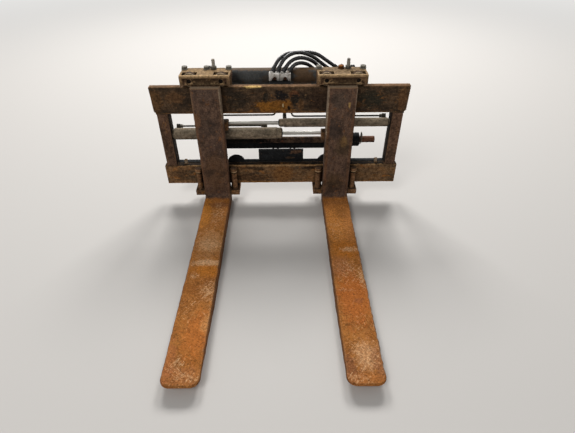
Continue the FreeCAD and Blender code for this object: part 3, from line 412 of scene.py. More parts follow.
for number, (length, route) in enumerate(HOSE_ROUTES, 1):
    name = "hose_%d_rubber" % number
    line = bpy.data.curves.new(name, "CURVE")
    line.dimensions = "3D"
    line.bevel_depth = HOSE_DIAMETER / 2 * MM
    line.bevel_resolution = 7
    line.resolution_u = 10
    line.use_fill_caps = True
    run = line.splines.new("NURBS")
    run.points.add(len(route) - 1)
    for point, place in zip(run.points, route):
        point.co = (*place, 1.0)
    run.order_u = 3
    run.use_endpoint_u = True
    line.materials.append(hose_finish)
    hose = bpy.data.objects.new(name, line)
    bpy.context.scene.collection.objects.link(hose)
    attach(hose, "frame")
    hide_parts("hose_%d" % number)

# Rear structure.
# A folded angle behind the lower bar with two arched rest lugs, a plate at its middle, two side plates and a
# square tube between them: all plate steel, welded, then sprayed black. Dust lies on it and the plate is
# scuffed.
black_finish = weathered_steel(
    "sprayed_black_plate", "#202122", "#121213", "#4A3B2E", "#4E4339", rusted=0.08, patch=80, wear=2.5,
    shine=0.12,
    spots=[((75, 33, 258), (34, 20, 14), "#5B4231", 0.7), ((45, 33, 225), (26, 20, 8), "#54402F", 0.6)])
for node in ("rear_rail", "centre_plate", "left_ear", "right_ear", "cross_tube", "block_bracket",
             "coupler_plate"):
    eased(node, "black_paint", black_finish, edge=1.2)

# Hook tube, lock pin and clip.
# Thick-walled round tube for the machine's hooks, dark with grease, rust coming through at its right. Below
# it the long forged pin with its red-brown end, held by a spring clip of bent wire.
tube_finish = weathered_steel(
    "greasy_hook_tube", "#51514F", "#333332", "#5E432C", "#7A5E42", rusted=0.12, patch=70, wear=3.0,
    mottling=0.4, shine=0.3,
    spots=[((110, 120, 605), (60, 90, 60), "#5E452C", 0.85), ((0, 138, 641), (420, 22, 9), "#6E5438", 0.6),
           ((-60, 110, 603), (30, 40, 18), "#4C3E2E", 0.5)])
# the pin's left part is painted black as the shade under the lower barrel, and its red-brown end is darker
# along its bottom
pin_finish = weathered_steel(
    "forged_lock_pin", "#5E4A3C", "#3C302A", "#7A4A34", "#8C6E55", rusted=0.3, patch=45, wear=2.0,
    spots=[((-210, 90, 297), (190, 40, 40), "#141312", 0.95), ((445, 90, 297), (60, 40, 40), "#75503E", 0.85),
           ((445, 90, 281), (60, 40, 12), "#2A1E19", 0.7)])
eased("top_tube", "dark_tube_steel", tube_finish, edge=1.5)
eased("lock_pin", "rusty_pin_steel", pin_finish, edge=1.0)

# Zinc-plated wire and bolts: dull grey-yellow, with brown rust in the corners.
zinc_finish = weathered_steel(
    "dull_zinc_plate", "#7C776A", "#565146", "#7A5636", "#D6CCBB", rusted=0.25, patch=18, wear=2.2, shine=0.5)


def coat_node(node, finish):
    """Give a piece of the CAD that keeps its shape its finish."""
    piece = frame["nodes"][node]
    piece.data.materials.clear()
    piece.data.materials.append(finish)


coat_node("lock_clip", zinc_finish)

# Forks.
# Two pallet forks, each forged in one from flat bar: orange rust on the blades, scuffed pale where loads
# slide, and dark brown scale left on the shanks. The bend at the heel is round, the tips are ground thin.
FORK_PLACES = {"left": -330.0, "right": 278.0}
BLADE_TOP = 50
FORK_HALF = 66
# the stretch of the blade's edges that is beaten in, how deep, how it is cut for that, and the blows
STRUCK_START, STRUCK_END, STRUCK_DEPTH = -1062, -170, 4
CUT_START, CUT_STEP, CUT_COUNT = -1060, 9, 100
BLOW_SIZE = 17
BLOWS, HARD_BLOWS = 3, 8
# Sizes of the patterns: broad tones, blooms, grain and the shank's streaks. The scrapes are given by their
# turn in degrees and their width. Grain and scrapes are coarser than real ones, so that they show.
FORK_BROAD, FORK_BLOOM, FORK_GRAIN, FORK_STREAK = 75, 20, 6.5, 16
SCRAPES = [(52, 6.0), (-44, 7.0)]
BLADE_TONES_AND_LIGHT = {
    # broad patches on the blade's top: middle, reach, colour and how strongly it shows. The pale patches near
    # the heel at (-372, -200), (-330, -230), (252, -300) and (282, -260) are painted light that lifts the
    # blade where the shanks' shadow falls; the pale one at (-322, -420) is partly painted light where the
    # upper bar's shadow falls.
    "left": [((-330, -230), (80, 200), "#B0723A", 0.6), ((-372, -200), (34, 120), "#BE7A30", 0.8),
             ((-322, -420), (70, 100), "#C08C5A", 0.65), ((-322, -492), (60, 24), "#86562C", 0.45),
             ((-318, -545), (74, 20), "#C09266", 0.8), ((-310, -590), (70, 40), "#A9661F", 0.8),
             ((-302, -905), (56, 110), "#B0662A", 0.65), ((-330, -1070), (70, 40), "#9C6236", 0.7),
             ((-380, -1010), (22, 90), "#A4643A", 0.5), ((-310, -130), (60, 26), "#7F5030", 0.7),
             ((-272, -860), (24, 44), "#C08A52", 0.5)],
    "right": [((282, -120), (70, 22), "#7E5534", 0.6), ((282, -260), (80, 200), "#C27E40", 0.65),
              ((252, -300), (50, 120), "#C07C38", 0.8), ((292, -212), (30, 40), "#855628", 0.4),
              ((282, -470), (60, 60), "#B46A1E", 0.6), ((250, -575), (50, 60), "#98613A", 0.6),
              ((286, -740), (70, 150), "#A45C24", 0.85), ((300, -760), (22, 16), "#84502E", 0.5),
              ((290, -1000), (44, 60), "#BA8659", 0.75), ((226, -1050), (34, 60), "#7B4B2C", 0.8),
              ((330, -1030), (26, 60), "#8A5836", 0.7), ((270, -1085), (80, 24), "#A0622F", 0.7)],
}
BLADE_SCUFFS = {
    # where pale scuffs lie thick: middle, reach and how thick
    "left": [((-312, -200), (44, 130), 0.75), ((-322, -425), (66, 60), 1.1), ((-318, -545), (72, 24), 1.3),
             ((-356, -616), (24, 22), 0.9), ((-290, -700), (50, 60), 1.0), ((-350, -790), (50, 60), 0.4),
             ((-350, -1027), (30, 40), 0.9), ((-310, -1075), (70, 30), 0.7), ((-272, -800), (26, 40), 0.5)],
    "right": [((300, -470), (52, 22), 1.3), ((282, -600), (66, 80), 0.6), ((330, -640), (18, 90), 1.0),
              ((252, -706), (50, 12), 0.7), ((282, -880), (70, 70), 0.35), ((286, -1000), (60, 80), 0.75),
              ((250, -330), (50, 90), 0.5), ((250, -1080), (60, 30), 0.7)],
}
SHANK_TONES_AND_HIGHLIGHTS = {
    # patches on the shank's front: middle across and up, reach, colour and how strongly it shows. The last
    # two of each side, thin pale strokes along the shanks' edges, are painted highlights.
    "left": [((-340, 600), (60, 40), "#56463C", 0.5), ((-340, 440), (54, 56), "#312B27", 0.4),
             ((-310, 330), (50, 50), "#352B2B", 0.3), ((-378, 470), (16, 40), "#8A5E3E", 0.4),
             ((-330, 190), (70, 110), "#5E4229", 0.5), ((-390, 300), (8, 300), "#6E4B33", 0.5),
             ((-270, 260), (8, 300), "#6E4B33", 0.45),
             ((-266, 560), (5, 110), "#9C8872", 0.95), ((-394, 560), (4, 60), "#7E6248", 0.7)],
    "right": [((262, 560), (40, 40), "#4C4239", 0.5), ((256, 420), (36, 60), "#2F2926", 0.6),
              ((300, 330), (40, 60), "#503F28", 0.5), ((312, 540), (5, 15), "#B08C54", 0.8),
              ((302, 355), (18, 30), "#8E6C40", 0.5), ((270, 130), (60, 50), "#503B23", 0.6),
              ((222, 280), (8, 320), "#704A2E", 0.5), ((334, 280), (8, 320), "#6C4930", 0.45),
              ((264, 84), (30, 18), "#2E241E", 0.45),
              ((214, 540), (5, 150), "#9C8872", 0.95), ((342, 570), (5, 80), "#8A7460", 0.9)],
}
# how deep a patch on the blade reaches down, and where and how deep one on the shank reaches back
TONE_DEPTH = 60
SHANK_MIDDLE, SHANK_DEPTH = -40, 90
TONE_EDGE = (2.6, 2.45, 1.95)
# where the two rusts part at the heel, how wide edges are rubbed and what a corner keeps of its colour under
# the painted shade
HEEL_START, HEEL_END = -8, 16
FORK_WEAR = 6
FORK_CORNER_SHADE_SHARE = 0.4


def forged_fork(name, tones, shank_tones_and_highlights, scuffs):
    """The forks' own skin: two rusts parted at the heel, a sharp grain, and pale scuffs and scratches on the
    blade;
    with painted light near the heel, painted shade on the blade's sides and in corners, and painted
    highlights along the shanks' edges."""
    finish, tree, shader = new_finish(name)
    place = put(tree, "TexCoord")
    coords = place.outputs["Object"]
    axes = put(tree, "SeparateXYZ", [coords])
    turned_to = put(tree, "SeparateXYZ", [place.outputs["Normal"]])
    # scratches that pallets leave slantwise across the blade, both ways, and the shank's downward streaks
    slants = [put(tree, "Mapping", {"Vector": coords, "Rotation": (0, 0, math.radians(turn)),
                                    "Scale": (6, 1, 1)}, vector_type="TEXTURE") for turn, _ in SCRAPES]
    down = put(tree, "Mapping", {"Vector": coords, "Scale": (1, 1, 0.6)})
    broad, bloom, grain, scrape, cross_scrape, streaks = [
        put(tree, "TexNoise", {"Vector": vector, "Scale": 1 / (size * MM), "Detail": detail,
                               "Roughness": roughness, "Distortion": twist})
        for vector, size, detail, roughness, twist in (
            (coords, FORK_BROAD, 5, 0.62, 0), (coords, FORK_BLOOM, 8, 0.72, 0.4),
            (coords, FORK_GRAIN, 4, 0.85, 0), (slants[0], SCRAPES[0][1], 4, 0.65, 0.3),
            (slants[1], SCRAPES[1][1], 4, 0.65, 0.3), (down, FORK_STREAK, 6, 0.7, 0))]
    scrape = put(tree, "Math", [scrape, cross_scrape], operation="MAXIMUM")
    tone = put(tree, "MapRange", [broad, 0.40, 0.60])
    colour = put(tree, "Mix", {0: tone, 6: "#85501F", 7: "#9C622A"}, data_type="RGBA")
    spread = put(tree, "MapRange", [bloom, 0.52, 0.60, 0.0, 0.55])
    colour = put(tree, "Mix", {0: spread, 6: colour, 7: "#A66C34"}, data_type="RGBA")
    for middle, reach, tone_colour, strength in tones:
        colour = patched(tree, colour, coords, bloom, TONE_EDGE, at(*middle, BLADE_TOP), (*reach, TONE_DEPTH),
                         tone_colour, strength)
    # pale scuffs: loose specks, thick where the masks lie
    thick = None
    for middle, reach, strength in scuffs:
        span = distance(tree, coords, at(*middle, BLADE_TOP), (*reach, TONE_DEPTH))
        mask = put(tree, "MapRange", [span, 1.25, 0.35, 0.0, strength])
        thick = put(tree, "Math", [thick, mask], operation="MAXIMUM") if thick else mask
    lines = put(tree, "Math", [grain, 0.55], operation="MULTIPLY")
    lines = put(tree, "Math", [scrape, 0.9, lines], operation="MULTIPLY_ADD")
    specks = put(tree, "Math", [thick, 0.17, lines], operation="MULTIPLY_ADD")
    pale = put(tree, "MapRange", [specks, 0.86, 0.99, 0.0, 0.7])
    dark = put(tree, "MapRange", [grain, 0.41, 0.33, 0.0, 0.6])
    # the blade's sides are painted darker, as shade
    side_shade = put(tree, "Math", [turned_to.outputs["X"]], operation="ABSOLUTE")
    side_shade = put(tree, "MapRange", [side_shade, 0.6, 0.9, 0.0, 0.75])
    for share, layer in ((pale, "#C29A70"), (dark, "#5E3818"), (side_shade, "#4E3018")):
        colour = put(tree, "Mix", {0: share, 6: colour, 7: layer}, data_type="RGBA")
    # the shank's scale, with a pale ledge on top
    scale = put(tree, "MapRange", [streaks, 0.38, 0.62])
    shank = put(tree, "Mix", {0: scale, 6: "#47362C", 7: "#6C5343"}, data_type="RGBA")
    flecks = put(tree, "MapRange", [bloom, 0.59, 0.64, 0.0, 0.7])
    shank = put(tree, "Mix", {0: flecks, 6: shank, 7: "#80532F"}, data_type="RGBA")
    for (x, z), (across, up), tone_colour, strength in shank_tones_and_highlights:
        shank = patched(tree, shank, coords, bloom, TONE_EDGE, at(x, SHANK_MIDDLE, z),
                        (across, SHANK_DEPTH, up), tone_colour, strength)
    chips = put(tree, "MapRange", [lines, 0.92, 0.96, 0.0, 0.8])
    blots = put(tree, "MapRange", [broad, 0.46, 0.38, 0.0, 0.55])
    ledge = put(tree, "Math", [turned_to.outputs["Z"], axes.outputs["Z"]], operation="MULTIPLY")
    ledge = put(tree, "MapRange", [ledge, 0.35, 0.55, 0.0, 0.8])
    for share, layer in ((chips, "#A08768"), (blots, "#2C221B"), (ledge, "#927E66")):
        shank = put(tree, "Mix", {0: share, 6: shank, 7: layer}, data_type="RGBA")
    # the line between the two rusts runs round the heel, ragged
    along = put(tree, "Math", [axes.outputs["Y"], axes.outputs["Z"]], operation="ADD")
    line = put(tree, "Math", [bloom, 0.06, along], operation="MULTIPLY_ADD")
    above = put(tree, "MapRange", [line, (BARS_FRONT + HEEL_START) * MM, (BARS_FRONT + HEEL_END) * MM])
    colour = put(tree, "Mix", {0: above, 6: colour, 7: shank}, data_type="RGBA")
    shade = put(tree, "MapRange", [grain, 0.36, 0.64, 0.56, 1.44])
    shade = put(tree, "Math", [shade, corner_shade_share(tree, FORK_CORNER_SHADE_SHARE)], operation="MULTIPLY")
    colour = put(tree, "Mix", {0: 1.0, 6: colour, 7: shade}, data_type="RGBA", blend_type="MULTIPLY")
    # edges rubbed pale: partly wear, partly a painted highlight along the rounded edges
    rubbed = on_edges(tree, FORK_WEAR, "True Normal", 0.997, 0.95)
    rubbed = put(tree, "Math", [rubbed, bloom], operation="MULTIPLY")
    rubbed = put(tree, "MapRange", [rubbed, 0.16, 0.42, 0.0, 0.75])
    colour = put(tree, "Mix", {0: rubbed, 6: colour, 7: "#9C7858"}, data_type="RGBA")
    matt = put(tree, "MapRange", [scrape, 0.35, 0.65, 0.66, 0.92])
    height = put(tree, "Math", [bloom, 1.6, grain], operation="MULTIPLY_ADD")
    skin = put(tree, "Bump", {"Height": height, "Strength": 0.6, "Distance": 1.1 * MM})
    fill(shader, {"Base Color": colour, "Roughness": matt, "Specular IOR Level": 0.15, "Normal": skin})
    return finish


for side, place in FORK_PLACES.items():
    # Forged steel: orange rust below the heel and brown scale above it, matt.
    fork_finish = forged_fork("forged_fork_" + side, BLADE_TONES_AND_LIGHT[side], SHANK_TONES_AND_HIGHLIGHTS[side], BLADE_SCUFFS[side])
    fork = eased(side + "_fork", "worn_fork_steel", fork_finish, edge=2.5, dent=1.4, pitch=26,
                 along=(0, 1, 2))
    # the blade's long edges are beaten in where loads and kerbs have struck them
    cut_faces(fork, [at(0, CUT_START + k * CUT_STEP, 0) for k in range(CUT_COUNT)], (0, 1, 0))
    start, end = at(0, STRUCK_START, 0).y, at(0, STRUCK_END, 0).y
    for way in (-1, 1):
        struck = fork.vertex_groups.new(name="struck_%d" % way)
        rim = at(place + way * (FORK_HALF - STRUCK_DEPTH), 0, 0).x
        struck.add([v.index for v in fork.data.vertices if (v.co.x - rim) * way > 0 and start < v.co.y < end],
                   1.0, "REPLACE")
        # the right fork's outer edge is hit hardest
        blows = HARD_BLOWS if (side, way) == ("right", 1) else BLOWS
        push = add_dents(fork, "blows", BLOW_SIZE, way * blows, 0.72)
        push.direction = "X"
        push.vertex_group = struck.name
    fix_shape(fork)

# Roller hangers, jaws and guides.
# Flame-cut plate, welded and drilled. The hanger rides on two rollers on top of the bar, the jaw holds behind
# it, and below each side of the shank a foot with an upright guide post closes round the lower bar.
GUIDE_OFFSET = 89
GUIDE_PLACES = [place + way * GUIDE_OFFSET for place in FORK_PLACES.values() for way in (-1, 1)]
# per hanger: its recess darkened, part dirt and part painted shade; a pale band on the roof's front edge,
# painted highlight; a pale line at the flange's foot
hanger_spots_and_light = []
for place in FORK_PLACES.values():
    hanger_spots_and_light += [((place, -14, 641), (104, 4.2, 26), "#3A2B1F", 0.85),
                     ((place, -14, 664), (128, 10, 7), "#B2936C", 0.9),
                     ((place, -18, 624), (70, 6, 5), "#8E7658", 0.7)]
hanger_spots_and_light.append(((FORK_PLACES["right"], 40, 664), (130, 56, 8), "#5F4F3C", 0.5))
# below each guide post's head a dark ring painted as the shade of its groove, and above it a pale ring
# painted as the highlight on the head's rim
guide_painted_rings = [((x, -17, 172), (30, 30, 5), "#1C140F", 0.9) for x in GUIDE_PLACES]
guide_painted_rings += [((x, -17, 180), (30, 30, 4.5), "#B89A74", 0.8) for x in GUIDE_PLACES]
# Flame-cut plate: brown scale, tan where it is rubbed. The pale band along the front edge of the hangers'
# roofs and on their front-up chamfers is painted highlight, and the dark middle of each flange's recess is
# part dirt and part painted shade under its lip.
hanger_finish = weathered_steel(
    "flame_cut_hanger", "#604534", "#423026", "#6E4A2B", "#B0926E", rusted=0.3, patch=34, wear=5.0,
    scratches=0.5, facing=[(UP, "#705E4A", 0.95), ((0, -0.7, 0.7), "#B09068", 0.95)], spots=hanger_spots_and_light)
# the guides' top faces are painted dark as the shade under the lower bar
guide_finish = weathered_steel(
    "flame_cut_guide", "#8A6648", "#624731", "#885E35", "#B08A60", rusted=0.4, patch=34, wear=3.0,
    facing=[(UP, "#2A211A", 0.8)], spots=guide_painted_rings)
for side in FORK_PLACES:
    eased(side + "_hanger", "tan_cast_steel", hanger_finish, edge=1.4)
    eased(side + "_jaw", "tan_cast_steel", hanger_finish, edge=1.4)
    eased(side + "_guides", "tan_cast_steel", guide_finish, edge=1.4)
    eased(side + "_rod_bracket", "tan_cast_steel", guide_finish, edge=1.0)

# Rollers and axles.
# Hardened rollers, turned, dark with grease and rubbed bright at their edges; their front ends are darker,
# with a pale band round the front rim. The axles end deep in the flange and are black with old grease.
roller_finish = weathered_steel(
    "hardened_roller", "#5A4636", "#3C2E24", "#6E4A2C", "#B8A184", rusted=0.2, patch=20, wear=2.5,
    facing=[((0, -1, 0), "#2E1F18", 0.95)], spots=[((0, 4, 638), (900, 5, 900), "#B09A7C", 0.8)])
axle_finish = weathered_steel("greasy_axle", "#221C18", "#120F0D", "#3E2C20", "#3E2C20", rusted=0.1, patch=20)
for side in FORK_PLACES:
    for number in (1, 2):
        eased("%s_roller_%d" % (side, number), "roller_steel", roller_finish, edge=1.8)
    coat_node(side + "_axles", axle_finish)

# Hanger bolts.
# Three M16 bolts and a long threaded stud with its nut stand along the rear edge of each hanger: zinc plated,
# the plating dull, the right hanger's middle bolt rusted orange.
HANGER_ROOF = 664
BOLT_BEHIND = 73
BOLT_STEPS = (-100, 0, 100)
RUSTED_BOLT = ("right", 0)
STUD_STEP = 32
ACROSS_FLATS = 24
BOLT_HEAD, STUD_NUT = 10, 13
# the washer and the stud's ends as steps of their lathe: radius and height
WASHER = [(14.5, 0), (15, 0.6), (15, 2.4), (14.4, 3.0)]
STUD_FOOT, STUD_END = (7.0, 10), (6.4, 43.4)
# radius, pitch and length of the stud's thread, and where it starts
STUD_THREAD = (8, 2.5, 32, 12)
THREAD_ROOT = 0.86
CHAMFER = 0.055


def set_down(piece, start, along):
    """Turn a part that was made upright at the origin its way, and set it at its start."""
    piece.rotation_euler = Vector(along).to_track_quat("Z", "Y").to_euler()
    piece.location = start
    fix_shape(piece)
    return piece


def turned(steps, start, along, sides=32):
    """A part turned on a lathe: a disc drawn out step by step, each step its radius and how far it lies
    along."""
    bpy.ops.mesh.primitive_circle_add(vertices=sides, radius=steps[0][0] * MM, fill_type="NGON",
                                      location=(0, 0, steps[0][1] * MM))
    piece = bpy.context.object
    bpy.ops.object.transform_apply(location=True)
    bpy.ops.object.mode_set(mode="EDIT")
    bpy.ops.mesh.select_all(action="SELECT")
    for (radius, place), (next_radius, next_place) in zip(steps, steps[1:]):
        bpy.ops.mesh.extrude_region_move(TRANSFORM_OT_translate={"value": (0, 0, (next_place - place) * MM)})
        if next_radius != radius:
            share = next_radius / radius
            bpy.ops.transform.resize(value=(share, share, 1), center_override=(0, 0, next_place * MM))
    bpy.ops.mesh.select_all(action="SELECT")
    bpy.ops.mesh.normals_make_consistent(inside=False)
    bpy.ops.object.mode_set(mode="OBJECT")
    return set_down(piece, start, along)


def hex_head(start, along, across, height):
    """A forged hexagon head or nut, its corners chamfered."""
    bpy.ops.mesh.primitive_cylinder_add(vertices=6, radius=across / math.sqrt(3) * MM, depth=height * MM,
                                        location=(0, 0, height / 2 * MM))
    head = bpy.context.object
    bpy.ops.object.transform_apply(location=True)
    chamfer = head.modifiers.new("edge", "BEVEL")
    chamfer.width = across * CHAMFER * MM
    chamfer.segments = 2
    chamfer.limit_method = "ANGLE"
    return set_down(head, start, along)


def joined(pieces):
    """Several loose parts of one piece as a single mesh."""
    only(pieces[0])
    for piece in pieces[1:]:
        piece.select_set(True)
    bpy.ops.object.join()
    return pieces[0]


def thread(radius, pitch, length, foot):
    """The steps of a rolled thread from its foot: root and crest by turns."""
    turns = int(length / pitch)
    return [(radius * (THREAD_ROOT if k % 2 else 1.0), foot + k * pitch / 2) for k in range(1, turns * 2)]


# Bolt steel without its plating: orange-brown rust all over.
rusty_bolt_finish = weathered_steel("rusted_bolt", "#8A552A", "#5A381E", "#A2642E", "#A87848", rusted=0.5,
                                    patch=14, wear=1.0)
for side, place in FORK_PLACES.items():
    plated, rusted = [], []
    for step in BOLT_STEPS:
        group = rusted if (side, step) == RUSTED_BOLT else plated
        foot = at(place + step, BOLT_BEHIND, HANGER_ROOF)
        group.append(turned(WASHER, foot, UP))
        group.append(hex_head(foot + Vector((0, 0, WASHER[-1][1] * MM)), UP, ACROSS_FLATS, BOLT_HEAD))
    foot = at(place + STUD_STEP, BOLT_BEHIND, HANGER_ROOF)
    plated.append(hex_head(foot, UP, ACROSS_FLATS, STUD_NUT))
    plated.append(turned([STUD_FOOT] + thread(*STUD_THREAD) + [STUD_END], foot, UP, 24))
    body, bolts = "fork_" + side, side + "_hanger_bolts"
    fit_piece(joined(plated), side + "_hanger_fasteners", body, "zinc_steel", zinc_finish, bolts)
    if rusted:
        fit_piece(joined(rusted), side + "_rusted_bolt", body, "zinc_steel", rusty_bolt_finish, bolts)

# Positioning cylinders.
# Two hydraulic cylinders lie one above the other between the posts, their rods pointing opposite ways. The
# barrels are drawn tube, dusty grey-brown; the rods are hard chromed and bright.
HAZE_SIZE = 12
GLANDS = [
    # name, the way its rod leaves, height above the floor, the gland's radius
    ("upper", -1, 418, 16), ("lower", 1, 364, 22),
]
GLAND_BEHIND = 33
GLAND_FACE = 4.5
ROD_RADIUS = 9.4
# the barrels' undersides are painted dark, part grease and part painted shade, and their tops a little
# lighter as painted light
barrel_finish = weathered_steel(
    "dusty_drawn_barrel", "#877763", "#5A5042", "#665038", "#A09585", rusted=0.25, patch=26, wear=2.0,
    mottling=0.8, shine=0.2, stretch=(0.35, 1, 1),
    facing=[((0, 0.1, -1), "#1F1A16", 0.85), ((0, -0.3, 0.95), "#8C7D66", 0.35)])
eased("upper_barrel", "barrel_steel", barrel_finish, edge=2.4)
eased("lower_barrel", "barrel_steel", barrel_finish, edge=2.4)
# A black rubber wiper closes each gland round its rod.
wiper_finish = weathered_steel("wiper_rubber", "#1A1A1A", "#101010", "#2A2420", "#2A2622", rusted=0.05,
                               patch=20, wear=0.5)
for name, way, height, reach in GLANDS:
    ring = turned([(reach, 0), (reach, 3.0), (reach - 2, 4.5), (ROD_RADIUS, 5.5)],
                  at(way * GLAND_FACE, GLAND_BEHIND, height), (way, 0, 0), 40)
    fit_piece(ring, name + "_wiper", "frame", "hose_rubber", wiper_finish)
# Hard chrome: mirror grey with a slight haze of dust, drawn out along the rod.
chrome_finish, tree, shader = new_finish("hard_chrome")
coords = put(tree, "TexCoord").outputs["Object"]
drawn = put(tree, "Mapping", {"Vector": coords, "Scale": (0.08, 1, 1)})
haze = put(tree, "TexNoise", {"Vector": drawn, "Scale": 1 / (HAZE_SIZE * MM), "Detail": 5.0,
                              "Roughness": 0.6})
bright = put(tree, "MapRange", [haze, 0.35, 0.7])
chrome = put(tree, "Mix", {0: bright, 6: "#B2AFA9", 7: "#7A766E"}, data_type="RGBA")
polish = put(tree, "MapRange", [haze, 0.3, 0.7, 0.24, 0.36])
fill(shader, {"Base Color": chrome, "Metallic": 1.0, "Roughness": polish})
for side in FORK_PLACES:
    coat_node(side + "_rod", chrome_finish)

# Pipes, port blocks and couplers.
# Zinc-plated 8 mm steel pipes run from the barrels' ports to two plated blocks, where crimped hose tails
# rise. The hoses end in four couplers that are clamped in their plate.
pipe_finish = weathered_steel(
    "plated_steel_pipe", "#5E584E", "#38342E", "#5E4A36", "#8E8678", rusted=0.2, patch=20, wear=1.0)
block_finish = weathered_steel(
    "plated_port_block", "#E6E1DA", "#A0988C", "#6A5238", "#DED8CE", rusted=0.2, patch=22, wear=1.5,
    mottling=0.35, shine=0.4, spots=[((0, 92, 668), (96, 62, 23), "#1A1A1A", 0.97)])
for node in ("lower_pipes", "upper_pipes"):
    eased(node, "zinc_steel", pipe_finish, edge=0.6)
for side in FORK_PLACES:
    eased(side + "_port_block", "zinc_block", block_finish, edge=1.2)
eased("couplers", "zinc_steel", zinc_finish, edge=0.8)

# A rusty socket plug closes the front of each block.
PLUG = [(7.5, 0), (7.5, 1.6), (7.0, 2.0), (4.2, 2.0), (4.2, -2.5)]
PLUG_PLACES = [(-24, 62, 622), (24, 62, 622)]
plug_finish = weathered_steel("rusty_socket_plug", "#5A3C2C", "#2A1C16", "#6E4028", "#7A5A44", rusted=0.4,
                              patch=8, wear=0.6)
plugs = [turned(PLUG, at(*place), (0, -1, 0), 24) for place in PLUG_PLACES]
fit_piece(joined(plugs), "block_plugs", "frame", "rusty_pin_steel", plug_finish)

# Flare nuts hold the pipes in their ports and under the blocks, hexagons clamp the couplers to their plate.
PIPE_ENDS = [
    # place, the way the pipe leaves
    ((-84, 63.2, 390.2), (-1, 0, 0)), ((-491, 63.2, 390.2), (1, 0, 0)), ((491, 57.9, 439.7), (-1, 0, 0)),
    ((20, 63.9, 444.9), (0, 0.7547, 0.6561)), ((-24, 84, 610), (0, 0, -1)), ((-40.8, 84, 610), (0, 0, -1)),
    ((40.8, 84, 610), (0, 0, -1)), ((20, 84, 610), (0, 0, -1)),
]
# nuts: across flats and height
FLARE_NUT = (16, 11)
FLARE_COLLAR = [(5.6, 11), (5.6, 13), (4.6, 14)]
TAIL_FOOT, TAIL_PITCH = (-36, 80, 643), 24
TAIL_LEANS = [(0.380, 0.680, 0.630), (0.380, 0.680, 0.630), (0.450, 0.770, 0.450), (0.500, 0.800, 0.330)]
TAIL_NUT, TAIL_NUT_START = (20, 8), 2
COUPLERS_MIDDLE, COUPLER_PITCH = (264, 202, 585), 25
COUPLER_WAY = Vector((0.8192, 0, -0.5736))
COUPLER_UP = Vector((0.5736, 0, 0.8192))
# where each hexagon starts along the coupler, and its size
COUPLER_NUTS = [(20, (21, 8)), (-13, (21, 9))]
COUPLER_SLEEVE_START = -4
# a crimped sleeve as steps of its lathe: a collar, four crimps and the end round the hose
SLEEVE = [(10.3, 9.5), (10.3, 12)]
for crimp in range(4):
    SLEEVE += [(9.8, 13 + 3 * crimp), (9.8, 14 + 3 * crimp), (10.3, 15 + 3 * crimp)]
SLEEVE += [(10.1, 26), (8.7, 27)]
nuts = [hex_head(at(*place), way, *FLARE_NUT) for place, way in PIPE_ENDS]
nuts += [turned(FLARE_COLLAR, at(*place), way, 16) for place, way in PIPE_ENDS]
sleeves = []
for k, lean in enumerate(TAIL_LEANS):
    foot = at(*TAIL_FOOT) + Vector((TAIL_PITCH * k * MM, 0, 0))
    lean = Vector(lean).normalized()
    sleeves.append(hex_head(foot + lean * TAIL_NUT_START * MM, lean, *TAIL_NUT))
    sleeves.append(turned(SLEEVE, foot, lean, 24))
    hub = at(*COUPLERS_MIDDLE) + COUPLER_UP * ((1.5 - k) * COUPLER_PITCH * MM)
    for place, size in COUPLER_NUTS:
        nuts.append(hex_head(hub + COUPLER_WAY * place * MM, COUPLER_WAY, *size))
    sleeves.append(turned(SLEEVE, hub + COUPLER_WAY * COUPLER_SLEEVE_START * MM, -COUPLER_WAY, 24))
fit_piece(joined(nuts), "pipe_and_coupler_nuts", "frame", "zinc_steel", zinc_finish)
# four clamp bolts end below the cross tube, sprayed over
DOWN = (0, 0, -1)
CLAMP_BOLTS = [(x, 98, 248) for x in (-40, -16, 50, 70)]
CLAMP_NUT = (10, 5)
CLAMP_END = [(3.4, 5)] + thread(4, 1.5, 6, 6) + [(3.0, 11.5)]
ends = []
for place in CLAMP_BOLTS:
    ends.append(hex_head(at(*place), DOWN, *CLAMP_NUT))
    ends.append(turned(CLAMP_END, at(*place), DOWN, 12))
fit_piece(joined(ends), "clamp_bolt_ends", "frame", "black_paint", black_finish)
# Crimped sleeves: black oxide on steel, dull, the crimps catch a line of light.
sleeve_finish = weathered_steel("black_oxide_sleeve", "#262524", "#161616", "#3A3028", "#6A625A", rusted=0.1,
                                patch=12, wear=0.6, shine=0.4)
fit_piece(joined(sleeves), "hose_sleeves", "frame", "black_paint", sleeve_finish)

# Welds.
# The seams are laid by hand with a rod: rippled fillets, rusted like the plate beside them or black where the
# rear structure was sprayed over them.
LEVEL_SEAMS = [
    # seams of the frame that run across: kind, left end, right end, behind, up, radius
    ("bare", -577, -526, 1, 481, 3), ("bare", 526, 577, 1, 481, 3), ("bare", -577, -526, 1, 202, 3),
    ("bare", 526, 577, 1, 202, 3), ("bare", -577, -526, 30, 542, 4), ("bare", 526, 577, 30, 542, 4),
    ("black", -48, 48, 30, 500, 4), ("black", -113, 113, 47, 202, 4), ("black", -113, 113, 33, 202, 3),
    ("black", -500, -380, 34, 202, 3), ("black", 380, 500, 34, 202, 3),
]
SIDE_SEAMS = [
    # seams that both sides of the frame have: kind, how far out, behind and up at both ends, radius
    ("bare", 577, (2, 481), (30, 481), 4), ("bare", 577, (2, 202), (33, 202), 4),
    ("bare", 526, (2, 481), (30, 481), 3), ("bare", 526, (2, 202), (33, 202), 3),
    ("bare", 526, (30, 484), (30, 542), 4), ("bare", 577, (30, 484), (30, 542), 4),
    ("black", 48, (30, 500), (30, 596), 4), ("black", 328, (30, 492), (30, 538), 4),
    ("black", 352, (30, 492), (30, 538), 4), ("black", 328, (63, 140), (63, 198), 4),
    ("black", 352, (63, 140), (63, 198), 4), ("black", 328, (90, 278), (120, 278), 3),
    ("black", 328, (90, 248), (120, 248), 3), ("black", 328, (120, 248), (120, 278), 3),
]
